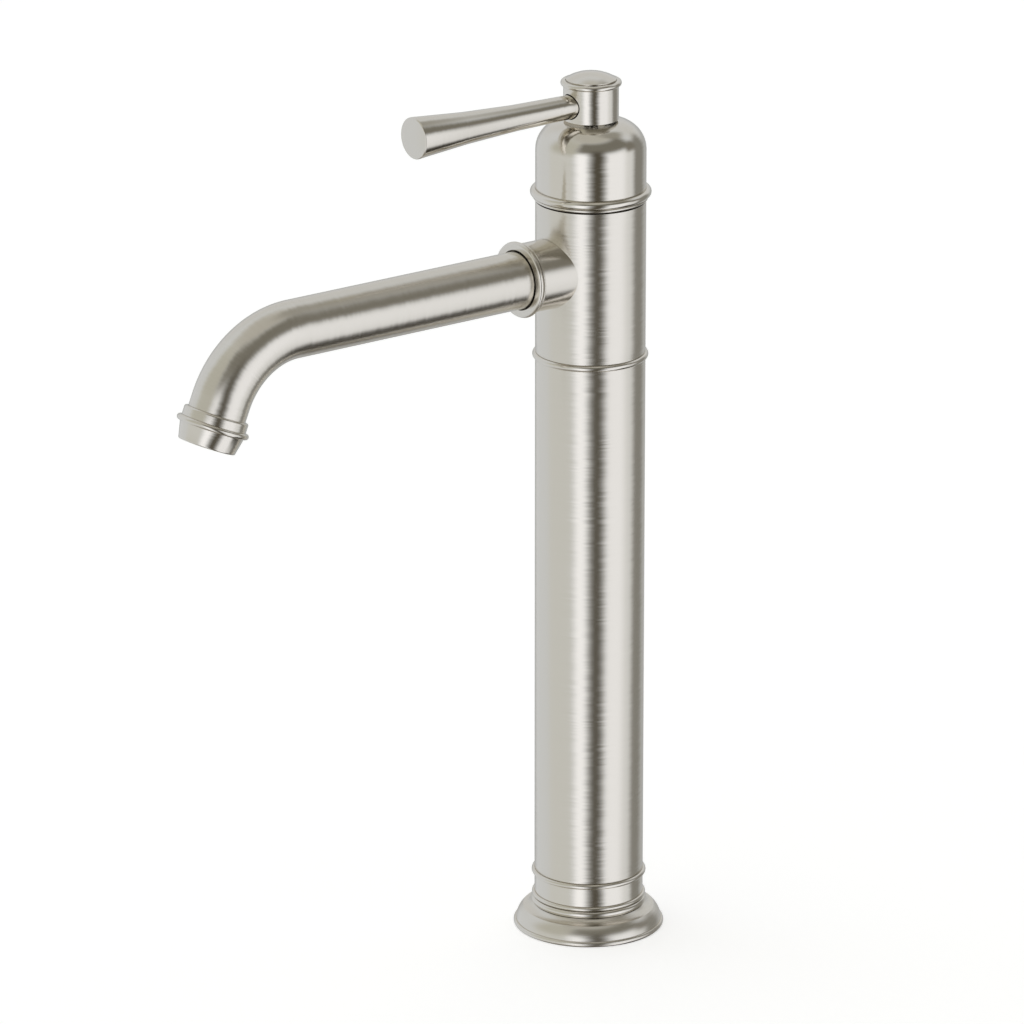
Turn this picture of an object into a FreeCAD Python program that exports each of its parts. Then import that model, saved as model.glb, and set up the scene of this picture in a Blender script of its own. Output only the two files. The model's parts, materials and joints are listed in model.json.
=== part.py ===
"""Tall basin faucet with one lever on a turning cap.

Millimetres, +Z up. The origin is the centre of the base where it stands on the deck.
The spout and the lever point along -Y. Every height is measured from the deck.
"""

import FreeCAD, Part
import Sketcher
import math
import os
import re

# Driving dimensions: name, number, meaning. All are in millimetres or degrees.
SIZES = [
    ("fit_gap", 0.05, "radial clearance of a spigot or a press fit"),
    ("running_gap", 0.1, "clearance of faces that turn on each other"),
    # the walls around the cartridge, which set the column's radius
    ("cartridge_radius", 17.5, "35 mm cartridge"),
    ("cartridge_gap", 0.1, "clearance around the cartridge"),
    ("neck_wall", 1.1, "neck of the upper body around that"),
    ("glide_wall", 0.75, "skirt of the glide ring on the neck"),
    ("cap_wall", 1.4, "wall of the cap around the glide ring"),
    ("column_wall", 1.5, "wall of the column tube"),
    # standing flange
    ("rim_height", 2.0, "height of the flange rim"),
    ("rim_round", 1.25, "radius of the rim's round edge"),
    ("step_inset", 0.4, "step from the rim to the shoulder"),
    ("shoulder_width", 2.8, "convex shoulder, measured across"),
    ("shoulder_rise", 5.3, "convex shoulder, measured up"),
    ("shoulder_curve", 8.0, "radius of the convex shoulder"),
    ("cove_width", 3.8, "cove, measured across"),
    ("cove_rise", 1.65, "cove, measured up"),
    ("cove_curve", 5.0, "radius of the cove"),
    ("cove_ledge", 0.6, "flat from the cove to the collar"),
    ("seal_inset", 3.1, "deck seal inside the rim"),
    ("seal_width", 5.0, "width of the deck seal"),
    ("seal_thickness", 1.5, "thickness of the deck seal"),
    # collar with its three round rings
    ("low_ring_section", 1.45, "section radius of the lowest ring, on the flange"),
    ("low_ring_proud", 1.3, "how far it stands out of the column's wall"),
    ("pair_ring_section", 0.85, "section radius of the ring right above it"),
    ("pair_ring_proud", 1.0, "how far it stands out"),
    ("collar_band", 7.32, "plain band up to the top ring"),
    ("top_ring_section", 1.03, "section radius of the top ring"),
    ("top_ring_proud", 1.12, "how far it stands out"),
    ("spigot_length", 9.0, "collar spigot inside the column"),
    ("spigot_wall", 1.5, "wall of that spigot"),
    # inlet block in the foot
    ("block_lip", 0.9, "lip that rests in the collar"),
    ("block_lip_height", 3.0, "height of that lip"),
    ("block_seat_rise", 5.05, "seat of the lip above the flange"),
    ("inlet_spread", 9.0, "inlets to each side of the middle"),
    ("socket_wall", 0.83, "wall outside a tube's seal in the block's lip"),
    ("inlet_thread_radius", 4.5, "tapped hole for an M10x1 hose"),
    ("inlet_thread_depth", 10.0, "depth of that hole"),
    ("stud_spread", 9.5, "fixing studs to each side of the middle"),
    ("stud_front", 7.0, "fixing studs in front of the middle"),
    ("stud_hole_radius", 3.4, "tapped hole for an M8 stud"),
    ("tube_outer", 5.0, "outer radius of a supply tube"),
    ("tube_wall", 1.0, "wall of a supply tube"),
    ("tube_socket_depth", 5.0, "depth of a tube's lower socket"),
    ("tube_plug_length", 11.0, "length of a tube inside the upper body"),
    ("tube_seal_section", 0.6, "section radius of a tube's ring seal"),
    ("tube_seal_inset", 2.5, "ring seal behind the mouth of its socket"),
    # column and the ring on top of it
    ("column_length", 206.85, "plain column between its two rings"),
    ("mid_ring_section", 1.23, "section radius of the ring on the column"),
    ("mid_ring_proud", 1.09, "how far it stands out"),
    # upper body and its neck
    ("body_spigot_length", 18.0, "upper body's spigot below the ring"),
    ("spout_rise", 33.85, "axis of the spout above the body's foot"),
    ("waterway_radius", 8.0, "passage behind the spout tube"),
    ("way_wall", 0.4, "wall between that passage and the inlet ways"),
    ("floor_wall", 3.43, "floor between the passage and the cartridge"),
    ("neck_height", 13.4, "neck above the seam under the cap"),
    ("port_radius", 2.6, "drilled water ways to the cartridge"),
    ("outlet_port_front", 8.5, "outlet port in front of the middle"),
    # spout
    ("spout_radius", 11.02, "outer radius of the spout tube"),
    ("spout_wall", 1.1, "wall of the spout tube"),
    ("spout_straight", 139.07, "straight run from the column's axis"),
    ("spout_bend_radius", 35.32, "centreline radius of the bend"),
    ("spout_bend_angle", 67.1, "turn of the bend"),
    ("spout_tail", 9.0, "straight end inside the nozzle"),
    ("seat_wall", 1.0, "wall between the spout tube and the cartridge seat"),
    ("spout_seal_section", 0.7, "section radius of a spout ring seal"),
    ("spout_seal_inset", 2.9, "first ring seal from the tube's inner end"),
    ("spout_seal_step", 3.2, "distance to the second ring seal"),
    ("set_screw_step", 3.7, "distance on to the set screw"),
    ("set_screw_radius", 2.0, "M4 set screw under the socket"),
    ("set_screw_inset", 0.4, "set screw's end inside the socket's wall"),
    ("socket_end", 3.2, "distance on to the socket's end"),
    ("boss_wall", 0.83, "wall of the socket around the seals"),
    # trim collar on the socket
    ("trim_gap", 0.53, "gap from the spout tube to the collar's bore"),
    ("trim_line_section", 0.45, "section radius of the thin bead"),
    ("trim_line_proud", 0.55, "how far it stands out of the socket"),
    ("trim_groove_width", 0.4, "groove between the two beads"),
    ("trim_groove_proud", 0.05, "how far its floor stands out"),
    ("trim_bead_section", 1.05, "section radius of the front bead"),
    ("trim_bead_proud", 1.3, "how far it stands out"),
    # nozzle, measured along its own axis from the end of the bend
    ("nozzle_start", 5.0, "upper lip of the nozzle"),
    ("nozzle_wall", 1.28, "wall around the spout tube"),
    ("nozzle_lip_round", 0.8, "round edge of the upper lip"),
    ("nozzle_bead_along", 9.9, "centre of the bead"),
    ("nozzle_bead_section", 1.15, "section radius of the bead"),
    ("nozzle_bead_proud", 1.49, "how far it stands out"),
    ("skirt_inset", 0.05, "skirt under the bead, behind the wall above it"),
    ("skirt_taper", 1.3, "how much the skirt narrows"),
    ("outlet_along", 17.6, "face of the outlet"),
    ("outlet_round", 0.6, "round edge of the outlet"),
    ("outlet_wall", 0.7, "wall around the aerator"),
    ("outlet_ledge", 0.6, "lip that holds the aerator"),
    ("outlet_lip_height", 0.9, "thickness of that lip"),
    ("aerator_wall", 1.2, "wall of the aerator housing"),
    ("washer_thickness", 0.9, "washer above the aerator"),
    ("washer_width", 2.1, "width of that washer"),
    ("plate_thickness", 1.2, "perforated plate of the aerator"),
    ("plate_hole_radius", 0.7, "its holes"),
    ("plate_ring_radius", 5.6, "ring of those holes"),
    ("screen_thickness", 0.5, "outlet screen"),
    ("screen_pitch", 1.9, "spacing of the screen's openings"),
    ("screen_opening", 1.35, "diameter of one opening"),
    ("screen_inset", 1.4, "screen behind the outlet's face"),
    # turning cap
    ("seam_gap", 0.55, "running gap under the cap"),
    ("cap_line_ledge", 0.08, "plain edge under the thin bead"),
    ("cap_line_section", 0.62, "section radius of the thin bead"),
    ("cap_line_proud", 0.75, "how far it stands out"),
    ("cap_bead_section", 1.57, "section radius of the large bead above it"),
    ("cap_bead_proud", 1.99, "how far it stands out"),
    ("crown_rise", 30.0, "flat crown above the pivot"),
    ("cap_corner", 11.0, "round corner of the crown"),
    ("cap_crown_wall", 2.0, "thickness of the crown"),
    ("cap_step", 1.2, "step that rests on the glide ring"),
    ("glide_thickness", 1.0, "flange of the glide ring"),
    ("glide_depth", 6.0, "skirt of the glide ring"),
    # cartridge
    ("cartridge_height", 24.5, "cartridge from its seat to its top"),
    ("cartridge_base_thickness", 2.1, "cartridge base"),
    ("port_seal_section", 0.6, "section radius of a port seal"),
    ("port_seal_radius", 3.4, "centreline radius of a port seal"),
    ("housing_wall", 2.0, "wall of the cartridge housing"),
    ("housing_roof", 3.0, "thickness of its roof"),
    ("disc_side_gap", 0.2, "clearance around the fixed disc"),
    ("fixed_disc_thickness", 2.6, "fixed ceramic disc"),
    ("moving_disc_thickness", 2.4, "moving ceramic disc"),
    ("disc_film", 0.05, "water film between discs and under the rotor"),
    ("carrier_height", 3.35, "carrier on the moving disc"),
    ("carrier_floor", 0.3, "carrier under the stem's ball"),
    ("rotor_gap", 0.7, "clearance around the rotor"),
    ("rotor_skirt_wall", 1.5, "rotor's skirt around the carrier"),
    ("rotor_neck_radius", 9.0, "rotor's neck through the roof"),
    ("rotor_neck_height", 2.5, "that neck above the housing"),
    ("nut_thickness", 3.0, "nut that clamps the cartridge"),
    ("nut_bore", 12.0, "opening of that nut"),
    ("nut_key_width", 2.2, "corners of its hexagon outside the opening"),
    ("nut_hex_depth", 1.8, "depth of that hexagon"),
    # stem and shutter
    ("lift_angle", 14.0, "lift of the lever"),
    ("pin_radius", 1.5, "pivot pin"),
    ("pin_cover", 2.3, "pin's end inside the rotor's wall"),
    ("ball_radius", 1.5, "ball at the foot of the stem"),
    ("ball_arm", 6.0, "ball's centre below the pivot"),
    ("ball_neck_radius", 1.0, "slim neck above the ball"),
    ("stem_radius", 2.7, "stem above the pivot"),
    ("yoke_radius", 3.4, "thicker stem around the pin"),
    ("yoke_half", 3.2, "half the height of that part"),
    ("slot_gap", 0.3, "clearance of the stem in its slots"),
    ("shutter_gap", 1.0, "splash shutter under the crown"),
    ("shutter_wall", 0.8, "its thickness"),
    ("shutter_rim", 12.2, "radius of its rim"),
    # hub, button and their screw
    ("hub_radius", 10.5, "hub on the cap"),
    ("hub_clearance", 0.2, "least gap from hub to cap while it tilts"),
    ("hub_bead_wall", 1.96, "wall from the lever's seat to the hub's bead"),
    ("hub_bead_section", 1.05, "section radius of that bead"),
    ("hub_bead_proud", 1.06, "how far it stands out"),
    ("button_rim", 0.9, "hub's rim around the button"),
    ("button_sink", 0.8, "button's floor below the bead's centre"),
    ("button_edge", 0.5, "button's edge above the hub"),
    ("button_curve", 18.9, "radius of its domed face"),
    ("hub_floor", 1.6, "hub between its screw's head and the stem"),
    ("hub_screw_radius", 1.5, "M3 screw through the hub"),
    ("hub_screw_head_radius", 2.75, "its head"),
    ("hub_screw_head_height", 3.0, "height of that head"),
    ("hub_screw_cover", 1.0, "space between that head and the button"),
    ("hub_screw_length", 6.0, "tapped hole in the stem"),
    ("hub_screw_key", 1.45, "corner radius of its hexagon"),
    # lever
    ("lever_radius", 4.62, "slim part of the lever"),
    ("lever_end_radius", 7.95, "thick end of the lever"),
    ("lever_slim", 2.9, "slim part outside the hub"),
    ("lever_flare", 69.9, "flare from there to the edge of the end"),
    ("lever_end_round", 0.5, "round edge of that end"),
    ("lever_end_crown", 0.5, "rise of its end face"),
    ("lever_foot_wall", 1.1, "hub's wall under the lever"),
    ("lever_seat_depth", 3.0, "lever's seat inside the hub"),
    ("lever_seat_gap", 0.3, "gap around the lever in the hub"),
    ("lever_stud_radius", 2.5, "M5 stud of the lever"),
    ("lever_stud_gap", 0.5, "stud's tip from the stem"),
]

# Places and radii that follow from the sizes.
FORMULAS = {
    # radii of the walls, from the cartridge outwards
    "seat_radius": "cartridge_radius + cartridge_gap",
    "neck_radius": "seat_radius + neck_wall",
    "cap_inner": "neck_radius + fit_gap + glide_wall + running_gap",
    "column_radius": "cap_inner + cap_wall",
    "bore_radius": "column_radius - column_wall",
    "spigot_radius": "bore_radius - fit_gap",
    "collar_bore": "spigot_radius - spigot_wall",
    "block_lip_radius": "collar_bore - fit_gap",
    "block_radius": "block_lip_radius - block_lip",
    "block_bore": "block_radius + fit_gap",
    # flange
    "cove_radius": "column_radius + cove_ledge",
    "shoulder_radius": "cove_radius + cove_width",
    "rim_radius": "shoulder_radius + shoulder_width + step_inset",
    "shoulder_height": "rim_height + shoulder_rise",
    "flange_height": "shoulder_height + cove_rise",
    "seal_outer": "rim_radius - seal_inset",
    "seal_inner": "seal_outer - seal_width",
    # collar and inlet block
    "low_ring_reach": "column_radius + low_ring_proud",
    "low_ring_height": "flange_height + low_ring_section",
    "pair_ring_reach": "column_radius + pair_ring_proud",
    "pair_ring_height": "low_ring_height + low_ring_section + pair_ring_section",
    "top_ring_reach": "column_radius + top_ring_proud",
    "top_ring_height": "pair_ring_height + pair_ring_section + collar_band + top_ring_section",
    "top_ring_half": "sqrt(top_ring_section^2 - (top_ring_proud - top_ring_section)^2)",
    "collar_top": "top_ring_height + top_ring_half",
    "block_seat_height": "flange_height + block_seat_rise",
    "block_height": "block_seat_height + block_lip_height",
    "tube_inner": "tube_outer - tube_wall",
    "tube_groove": "tube_outer + 2 * tube_seal_section + fit_gap",
    "inlet_reach": "block_lip_radius - socket_wall - tube_groove",
    "inlet_back": "sqrt(inlet_reach^2 - inlet_spread^2)",
    # column and upper body
    "column_top": "collar_top + column_length",
    "mid_ring_reach": "column_radius + mid_ring_proud",
    "mid_ring_half": "sqrt(mid_ring_section^2 - (mid_ring_proud - mid_ring_section)^2)",
    "mid_ring_height": "column_top + mid_ring_half",
    "body_bottom": "mid_ring_height + mid_ring_half",
    "body_foot": "mid_ring_height - body_spigot_length",
    "tube_bottom": "block_height - tube_socket_depth",
    "tube_top": "body_foot + tube_plug_length",
    "spout_height": "body_bottom + spout_rise",
    "waterway_back": "inlet_back - port_radius - way_wall",
    "cartridge_floor": "spout_height + waterway_radius + floor_wall",
    "neck_top": "housing_top + nut_thickness",
    "seam_height": "neck_top - neck_height",
    # spout, its socket and the trim collar
    "spout_bore": "spout_radius + fit_gap",
    "spout_entry": "seat_radius + seat_wall",
    "spout_end_out": "spout_straight + spout_bend_radius * sin(spout_bend_angle)",
    "spout_end_height": "spout_height - spout_bend_radius * (1 - cos(spout_bend_angle))",
    "spout_groove": "spout_radius + 2 * spout_seal_section + fit_gap",
    "spout_seal_first": "spout_entry + spout_seal_inset",
    "set_screw_reach": "spout_seal_first + spout_seal_step + set_screw_step",
    "boss_length": "set_screw_reach + socket_end",
    "boss_radius": "spout_groove + boss_wall",
    "trim_bore": "spout_radius + trim_gap",
    "trim_line_middle": "boss_radius + trim_line_proud - trim_line_section",
    "trim_line_end": "boss_length + 2 * trim_line_section",
    "trim_groove_radius": "boss_radius + trim_groove_proud",
    "trim_bead_start": "trim_line_end + trim_groove_width",
    "trim_bead_middle": "boss_radius + trim_bead_proud - trim_bead_section",
    "trim_face": "trim_bead_start + 2 * trim_bead_section",
    # nozzle and aerator
    "nozzle_band_radius": "spout_bore + nozzle_wall",
    "nozzle_bead_middle": "nozzle_band_radius + nozzle_bead_proud - nozzle_bead_section",
    "nozzle_bead_half": "sqrt(nozzle_bead_section^2 - (nozzle_bead_proud - nozzle_bead_section)^2)",
    "skirt_top_radius": "nozzle_band_radius - skirt_inset",
    "outlet_radius": "skirt_top_radius - skirt_taper",
    "aerator_radius": "outlet_radius - outlet_wall",
    "outlet_lip": "aerator_radius - outlet_ledge",
    "aerator_top": "spout_tail + washer_thickness",
    "aerator_bottom": "outlet_along - outlet_lip_height",
    "aerator_outer": "aerator_radius - fit_gap",
    "aerator_inner": "aerator_outer - aerator_wall",
    "washer_bore": "aerator_radius - washer_width",
    "screen_along": "outlet_along - screen_inset - screen_thickness",
    # cap
    "cap_bottom": "seam_height + seam_gap",
    "cap_upper_inner": "cap_inner - cap_step",
    "cap_line_reach": "column_radius + cap_line_proud",
    "cap_line_height": "cap_bottom + cap_line_ledge + cap_line_section",
    "cap_bead_reach": "column_radius + cap_bead_proud",
    "cap_bead_height": "cap_line_height + cap_line_section + cap_bead_section",
    "glide_top": "neck_top + glide_thickness",
    "cap_step_height": "glide_top + running_gap",
    "cap_height": "pivot_height + crown_rise",
    "cap_corner_height": "cap_height - cap_corner",
    "crown_flat": "column_radius - cap_corner",
    "cap_inner_corner": "cap_upper_inner - crown_flat",
    "crown_underside": "cap_height - cap_crown_wall",
    "crown_slot_back": "crown_rise * tan(lift_angle) + slot_half / cos(lift_angle)",
    # cartridge
    "housing_foot": "cartridge_floor + cartridge_base_thickness",
    "housing_inner": "cartridge_radius - housing_wall",
    "housing_top": "cartridge_floor + cartridge_height",
    "fixed_disc_radius": "housing_inner - disc_side_gap",
    "fixed_disc_top": "housing_foot + fixed_disc_thickness",
    "moving_disc_foot": "fixed_disc_top + disc_film",
    "moving_disc_radius": "rotor_skirt_bore - disc_travel - slot_gap",
    "carrier_foot": "moving_disc_foot + moving_disc_thickness",
    "carrier_top": "carrier_foot + carrier_height",
    "disc_travel": "ball_arm * tan(lift_angle)",
    "rotor_radius": "housing_inner - rotor_gap",
    "rotor_skirt_bore": "rotor_radius - rotor_skirt_wall",
    "rotor_shoulder": "housing_top - housing_roof - running_gap",
    "rotor_foot": "carrier_foot + disc_film",
    "rotor_floor": "carrier_top + running_gap",
    "rotor_top": "housing_top + rotor_neck_height",
    "rotor_slot_back": "(rotor_top - pivot_height) * tan(lift_angle) + slot_half / cos(lift_angle)",
    "rotor_slot_front": "yoke_slot_half + (pivot_height - rotor_floor) * tan(lift_angle)",
    "nut_hex": "nut_bore + nut_key_width",
    # stem, shutter, hub and lever
    "pivot_height": "ball_height + ball_arm",
    "pin_length": "2 * (rotor_radius - pin_cover)",
    "ball_height": "ball_floor + disc_film + ball_radius",
    "ball_floor": "carrier_foot + carrier_floor",
    "slot_half": "stem_radius + slot_gap",
    "yoke_slot_half": "yoke_radius + slot_gap",
    "shutter_radius": "crown_rise - cap_crown_wall - shutter_gap",
    "hub_sweep": "sqrt(crown_flat^2 + (crown_rise - cap_corner)^2) + cap_corner + hub_clearance",
    "hub_foot": "pivot_height + sqrt(hub_sweep^2 - hub_radius^2)",
    "lever_height": "hub_foot + lever_foot_wall + lever_seat_gap + lever_radius",
    "lever_seat": "hub_radius - lever_seat_depth",
    "lever_stud_tip": "stem_radius + lever_stud_gap",
    "lever_slim_end": "hub_radius + lever_slim",
    "lever_length": "lever_slim_end + lever_flare",
    "lever_seat_top": "lever_height + lever_radius + lever_seat_gap",
    "hub_bead_height": "lever_seat_top + hub_bead_wall + hub_bead_section",
    "hub_bead_middle": "hub_radius + hub_bead_proud - hub_bead_section",
    "hub_top": "hub_bead_height + hub_bead_section",
    "button_radius": "hub_radius - button_rim",
    "button_seat": "hub_bead_height - button_sink",
    "button_edge_height": "hub_top + button_edge",
    "hub_screw_seat": "button_seat - hub_screw_cover - hub_screw_head_height",
    "stem_top": "hub_screw_seat - hub_floor",
}

MAIN_AXIS = "V_Axis"
SAME = 1e-6
NAMES = {name for name, number, meaning in SIZES}

doc = FreeCAD.newDocument("tall_basin_faucet")
sheet = doc.addObject("Spreadsheet::Sheet", "Sizes")
for row, (name, number, meaning) in enumerate(SIZES, start=1):
    sheet.set(f"A{row}", name)
    sheet.set(f"B{row}", str(number))
    sheet.set(f"C{row}", meaning)
    sheet.setAlias(f"B{row}", name)
doc.recompute()


def written_out(formula):
    """A formula in which every name is taken from the sheet."""
    def full(match):
        word = match.group(0)
        if word in FORMULAS:
            return f"({written_out(FORMULAS[word])})"
        return f"Sizes.{word}" if word in NAMES else word

    return re.sub(r"[a-z][a-z_]*", full, formula)


def number(formula):
    """What a formula comes to."""
    result = sheet.evalExpression(written_out(formula))
    return float(getattr(result, "Value", result))


def bind(item, **formulas):
    """Ties properties to formulas: a double underscore in a name stands for a dot."""
    for name, formula in formulas.items():
        item.setExpression(name.replace("__", "."), written_out(formula))


def place(item, along_x="0", along_y="0", along_z="0", tilt=None):
    """Moves a piece and turns it about the X axis by the formula tilt, in degrees."""
    if tilt is not None:
        turn = FreeCAD.Rotation(FreeCAD.Vector(1, 0, 0), number(tilt))
        item.Placement = FreeCAD.Placement(FreeCAD.Vector(), turn)
        bind(item, Placement__Rotation__Angle=tilt)
    bind(item, Placement__Base__x=along_x, Placement__Base__y=along_y, Placement__Base__z=along_z)
    return item


def new_body(label):
    body = doc.addObject("PartDesign::Body", label)
    body.Label = label
    return body


def origin_plane(body, role):
    return next(plane for plane in body.Origin.OriginFeatures if plane.Role == role)


def arc_between(start, end, radius, turn, long_way):
    """The arc from start to end. turn is 1 against the clock and -1 with it."""
    chord = end - start
    middle = start + chord * 0.5
    rise = math.sqrt(max(radius**2 - chord.Length**2 / 4, 0))
    side = FreeCAD.Vector(-chord.y, chord.x, 0).normalize() * (-turn if long_way else turn)
    centre = middle + side * rise
    first, last = (start, end) if turn > 0 else (end, start)
    angles = [math.atan2(p.y - centre.y, p.x - centre.x) for p in (first, last)]
    circle = Part.Circle(centre, FreeCAD.Vector(0, 0, 1), radius)
    return Part.ArcOfCircle(circle, angles[0], angles[1])


def outline(body, name, role, steps, closed=True):
    """A sketch whose corners and arc radii are formulas.

    Each step is (across, up) for a straight line to that corner, or
    (across, up, radius, turn, long_way) for an arc to it.
    """
    sketch = body.newObject("Sketcher::SketchObject", name)
    sketch.AttachmentSupport = [(origin_plane(body, role), "")]
    sketch.MapMode = "FlatFace"
    corners = [FreeCAD.Vector(number(step[0]), number(step[1]), 0) for step in steps]
    count = len(steps)
    ends = []
    for index in range(count if closed else count - 1):
        start, target = corners[index], (index + 1) % count
        step = steps[target]
        if len(step) == 2:
            edge = sketch.addGeometry(Part.LineSegment(start, corners[target]), False)
            ends.append((edge, 1, 2))
            continue
        radius, turn, long_way = step[2:]
        curve = arc_between(start, corners[target], number(radius), turn, long_way)
        edge = sketch.addGeometry(curve, False)
        ends.append((edge, 1, 2) if turn > 0 else (edge, 2, 1))
        half_circle = abs(corners[target].distanceToPoint(start) - 2 * number(radius)) < SAME
        if half_circle:
            sketch.addConstraint(Sketcher.Constraint("Symmetric", edge, 1, edge, 2, edge, 3))
        else:
            bound = sketch.addConstraint(Sketcher.Constraint("Radius", edge, number(radius)))
            sketch.setExpression(f"Constraints[{bound}]", written_out(radius))
    for index, (edge, first, last) in enumerate(ends):
        if closed or index + 1 < len(ends):
            following = ends[(index + 1) % len(ends)]
            sketch.addConstraint(Sketcher.Constraint("Coincident", edge, last, following[0], following[1]))
        hold_corner(sketch, edge, first, steps[index])
    if not closed:
        hold_corner(sketch, ends[-1][0], ends[-1][2], steps[-1])
    return sketch


def hold_corner(sketch, edge, point, step):
    """Ties one corner's two distances from the origin to its formulas."""
    axes = (("DistanceX", step[0], -2), ("DistanceY", step[1], -1))
    for kind, formula, axis in axes:
        size = number(formula)
        if formula == "0":
            sketch.addConstraint(Sketcher.Constraint("PointOnObject", edge, point, axis))
            continue
        bound = sketch.addConstraint(Sketcher.Constraint(kind, -1, 1, edge, point, size))
        sketch.setExpression(f"Constraints[{bound}]", written_out(formula))


def circles(body, name, role, rounds):
    """A sketch of circles: each is a radius and the place of its centre."""
    sketch = body.newObject("Sketcher::SketchObject", name)
    sketch.AttachmentSupport = [(origin_plane(body, role), "")]
    sketch.MapMode = "FlatFace"
    for radius, across_it, up_it in rounds:
        middle = FreeCAD.Vector(number(across_it), number(up_it), 0)
        circle = Part.Circle(middle, FreeCAD.Vector(0, 0, 1), number(radius))
        edge = sketch.addGeometry(circle, False)
        hold_corner(sketch, edge, 3, (across_it, up_it))
        bound = sketch.addConstraint(Sketcher.Constraint("Radius", edge, number(radius)))
        sketch.setExpression(f"Constraints[{bound}]", written_out(radius))
    return sketch


def turned(label, steps):
    """A body turned about its own Z axis."""
    body = new_body(label)
    sketch = outline(body, label + "_outline", "XZ_Plane", steps)
    turning = body.newObject("PartDesign::Revolution", label + "_turned")
    turning.Profile = sketch
    turning.ReferenceAxis = (sketch, [MAIN_AXIS])
    turning.Angle = 360
    return body


def ring_steps(inner, outer, low, high):
    """A plain ring of rectangular section."""
    return [(inner, low), (outer, low), (outer, high), (inner, high)]


def bead(wall, reach, section, height):
    """A round bead on a straight wall, from its lower edge to its upper edge."""
    middle = f"({reach} - {section})"
    half = f"sqrt({section}^2 - ({middle} - {wall})^2)"
    long_way = number(middle) > number(wall)
    return [(wall, f"{height} - {half}"), (wall, f"{height} + {half}", section, 1, long_way)]


def cylinder(body, kind, name, radius, length, x="0", y="0", z="0", tilt=None):
    """Adds or cuts a cylinder that starts at x, y, z."""
    piece = body.newObject(f"PartDesign::{kind}Cylinder", name)
    bind(piece, Radius=radius, Height=length)
    return place(piece, x, y, z, tilt)


def block(body, kind, name, low, high):
    """Adds or cuts a box between two corners."""
    piece = body.newObject(f"PartDesign::{kind}Box", name)
    spans = [f"({b}) - ({a})" for a, b in zip(low, high)]
    bind(piece, Length=spans[0], Width=spans[1], Height=spans[2])
    return place(piece, *low)


def hexagon(body, name, radius, depth, z):
    """Cuts a hexagonal socket."""
    piece = body.newObject("PartDesign::SubtractivePrism", name)
    piece.Polygon = 6
    bind(piece, Circumradius=radius, Height=depth)
    return place(piece, along_z=z)


def ring_seals(label, radius, section, places, tilt=None):
    """A node of equal ring seals, one at each place."""
    rings = []
    for count, spot in enumerate(places, start=1):
        seal = doc.addObject("Part::Torus", f"{label}_{count}")
        bind(seal, Radius1=radius, Radius2=section)
        rings.append(place(seal, *spot, tilt=tilt))
    group = doc.addObject("Part::Compound", label)
    group.Label = label
    group.Links = rings
    return group


# --- standing flange, collar and inlet block -----------------------------------------


def base_flange():
    """Spun flange: round rim, convex shoulder, cove, and a recess for the deck seal."""
    return turned("base_flange", [
        ("block_bore", "0"),
        ("seal_inner", "0"),
        ("seal_inner", "seal_thickness"),
        ("seal_outer", "seal_thickness"),
        ("seal_outer", "0"),
        ("rim_radius", "0"),
        ("rim_radius", "rim_height", "rim_round", 1, False),
        ("rim_radius - step_inset", "rim_height"),
        ("shoulder_radius", "shoulder_height", "shoulder_curve", 1, False),
        ("cove_radius", "flange_height", "cove_curve", -1, False),
        ("block_bore", "flange_height"),
    ])


def deck_seal():
    inner, outer = "seal_inner + fit_gap", "seal_outer - fit_gap"
    return turned("deck_seal", ring_steps(inner, outer, "0", "seal_thickness"))


def base_collar():
    """Collar with three round rings and a spigot that carries the column."""
    wall = "column_radius"
    steps = [("block_bore", "flange_height")]
    steps.append((wall, "flange_height"))
    steps += bead(wall, "low_ring_reach", "low_ring_section", "low_ring_height")
    steps += bead(wall, "pair_ring_reach", "pair_ring_section", "pair_ring_height")
    steps += bead(wall, "top_ring_reach", "top_ring_section", "top_ring_height")
    steps += [
        ("spigot_radius", "collar_top"),
        ("spigot_radius", "collar_top + spigot_length"),
        ("collar_bore", "collar_top + spigot_length"),
        ("collar_bore", "block_seat_height"),
        ("block_bore", "block_seat_height"),
    ]
    return turned("base_collar", steps)


def inlet_block():
    """Brass block with two tapped inlets, two tube sockets and two stud holes."""
    body = turned("inlet_block", [
        ("0", "0"),
        ("block_radius", "0"),
        ("block_radius", "block_seat_height"),
        ("block_lip_radius", "block_seat_height"),
        ("block_lip_radius", "block_height"),
        ("0", "block_height"),
    ])
    for side, sign in (("hot", "-"), ("cold", "")):
        x, y = f"{sign}inlet_spread", "inlet_back"
        cylinder(body, "Subtractive", f"{side}_inlet", "inlet_thread_radius", "inlet_thread_depth", x, y)
        cylinder(body, "Subtractive", f"{side}_way", "tube_inner", "block_height", x, y)
        cylinder(body, "Subtractive", f"{side}_socket", "tube_outer + fit_gap",
                 "tube_socket_depth", x, y, "tube_bottom")
        cylinder(body, "Subtractive", f"{side}_groove", "tube_groove", "2 * tube_seal_section + fit_gap",
                 x, y, "block_height - tube_seal_inset - tube_seal_section")
        cylinder(body, "Subtractive", f"{side}_stud_hole", "stud_hole_radius", "block_height",
                 f"{sign}stud_spread", "-stud_front")
    return body


def supply_tube(side, sign):
    """Copper tube from the inlet block to the upper body."""
    body = turned(f"{side}_supply_tube", ring_steps("tube_inner", "tube_outer", "tube_bottom", "tube_top"))
    return place(body, f"{sign}inlet_spread", "inlet_back")


def supply_seals():
    radius = "tube_outer + tube_seal_section + 0.5 * fit_gap"
    mouths = ("block_height - tube_seal_inset", "body_foot + tube_seal_inset")
    spots = [(f"{sign}inlet_spread", "inlet_back", f"{mouth} + 0.5 * fit_gap")
             for sign in ("-", "") for mouth in mouths]
    return ring_seals("supply_seals", radius, "tube_seal_section", spots)


# --- column, ring and upper body -------------------------------------------------------


def column_tube():
    return turned("column_tube", ring_steps("bore_radius", "column_radius", "collar_top", "column_top"))


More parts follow.
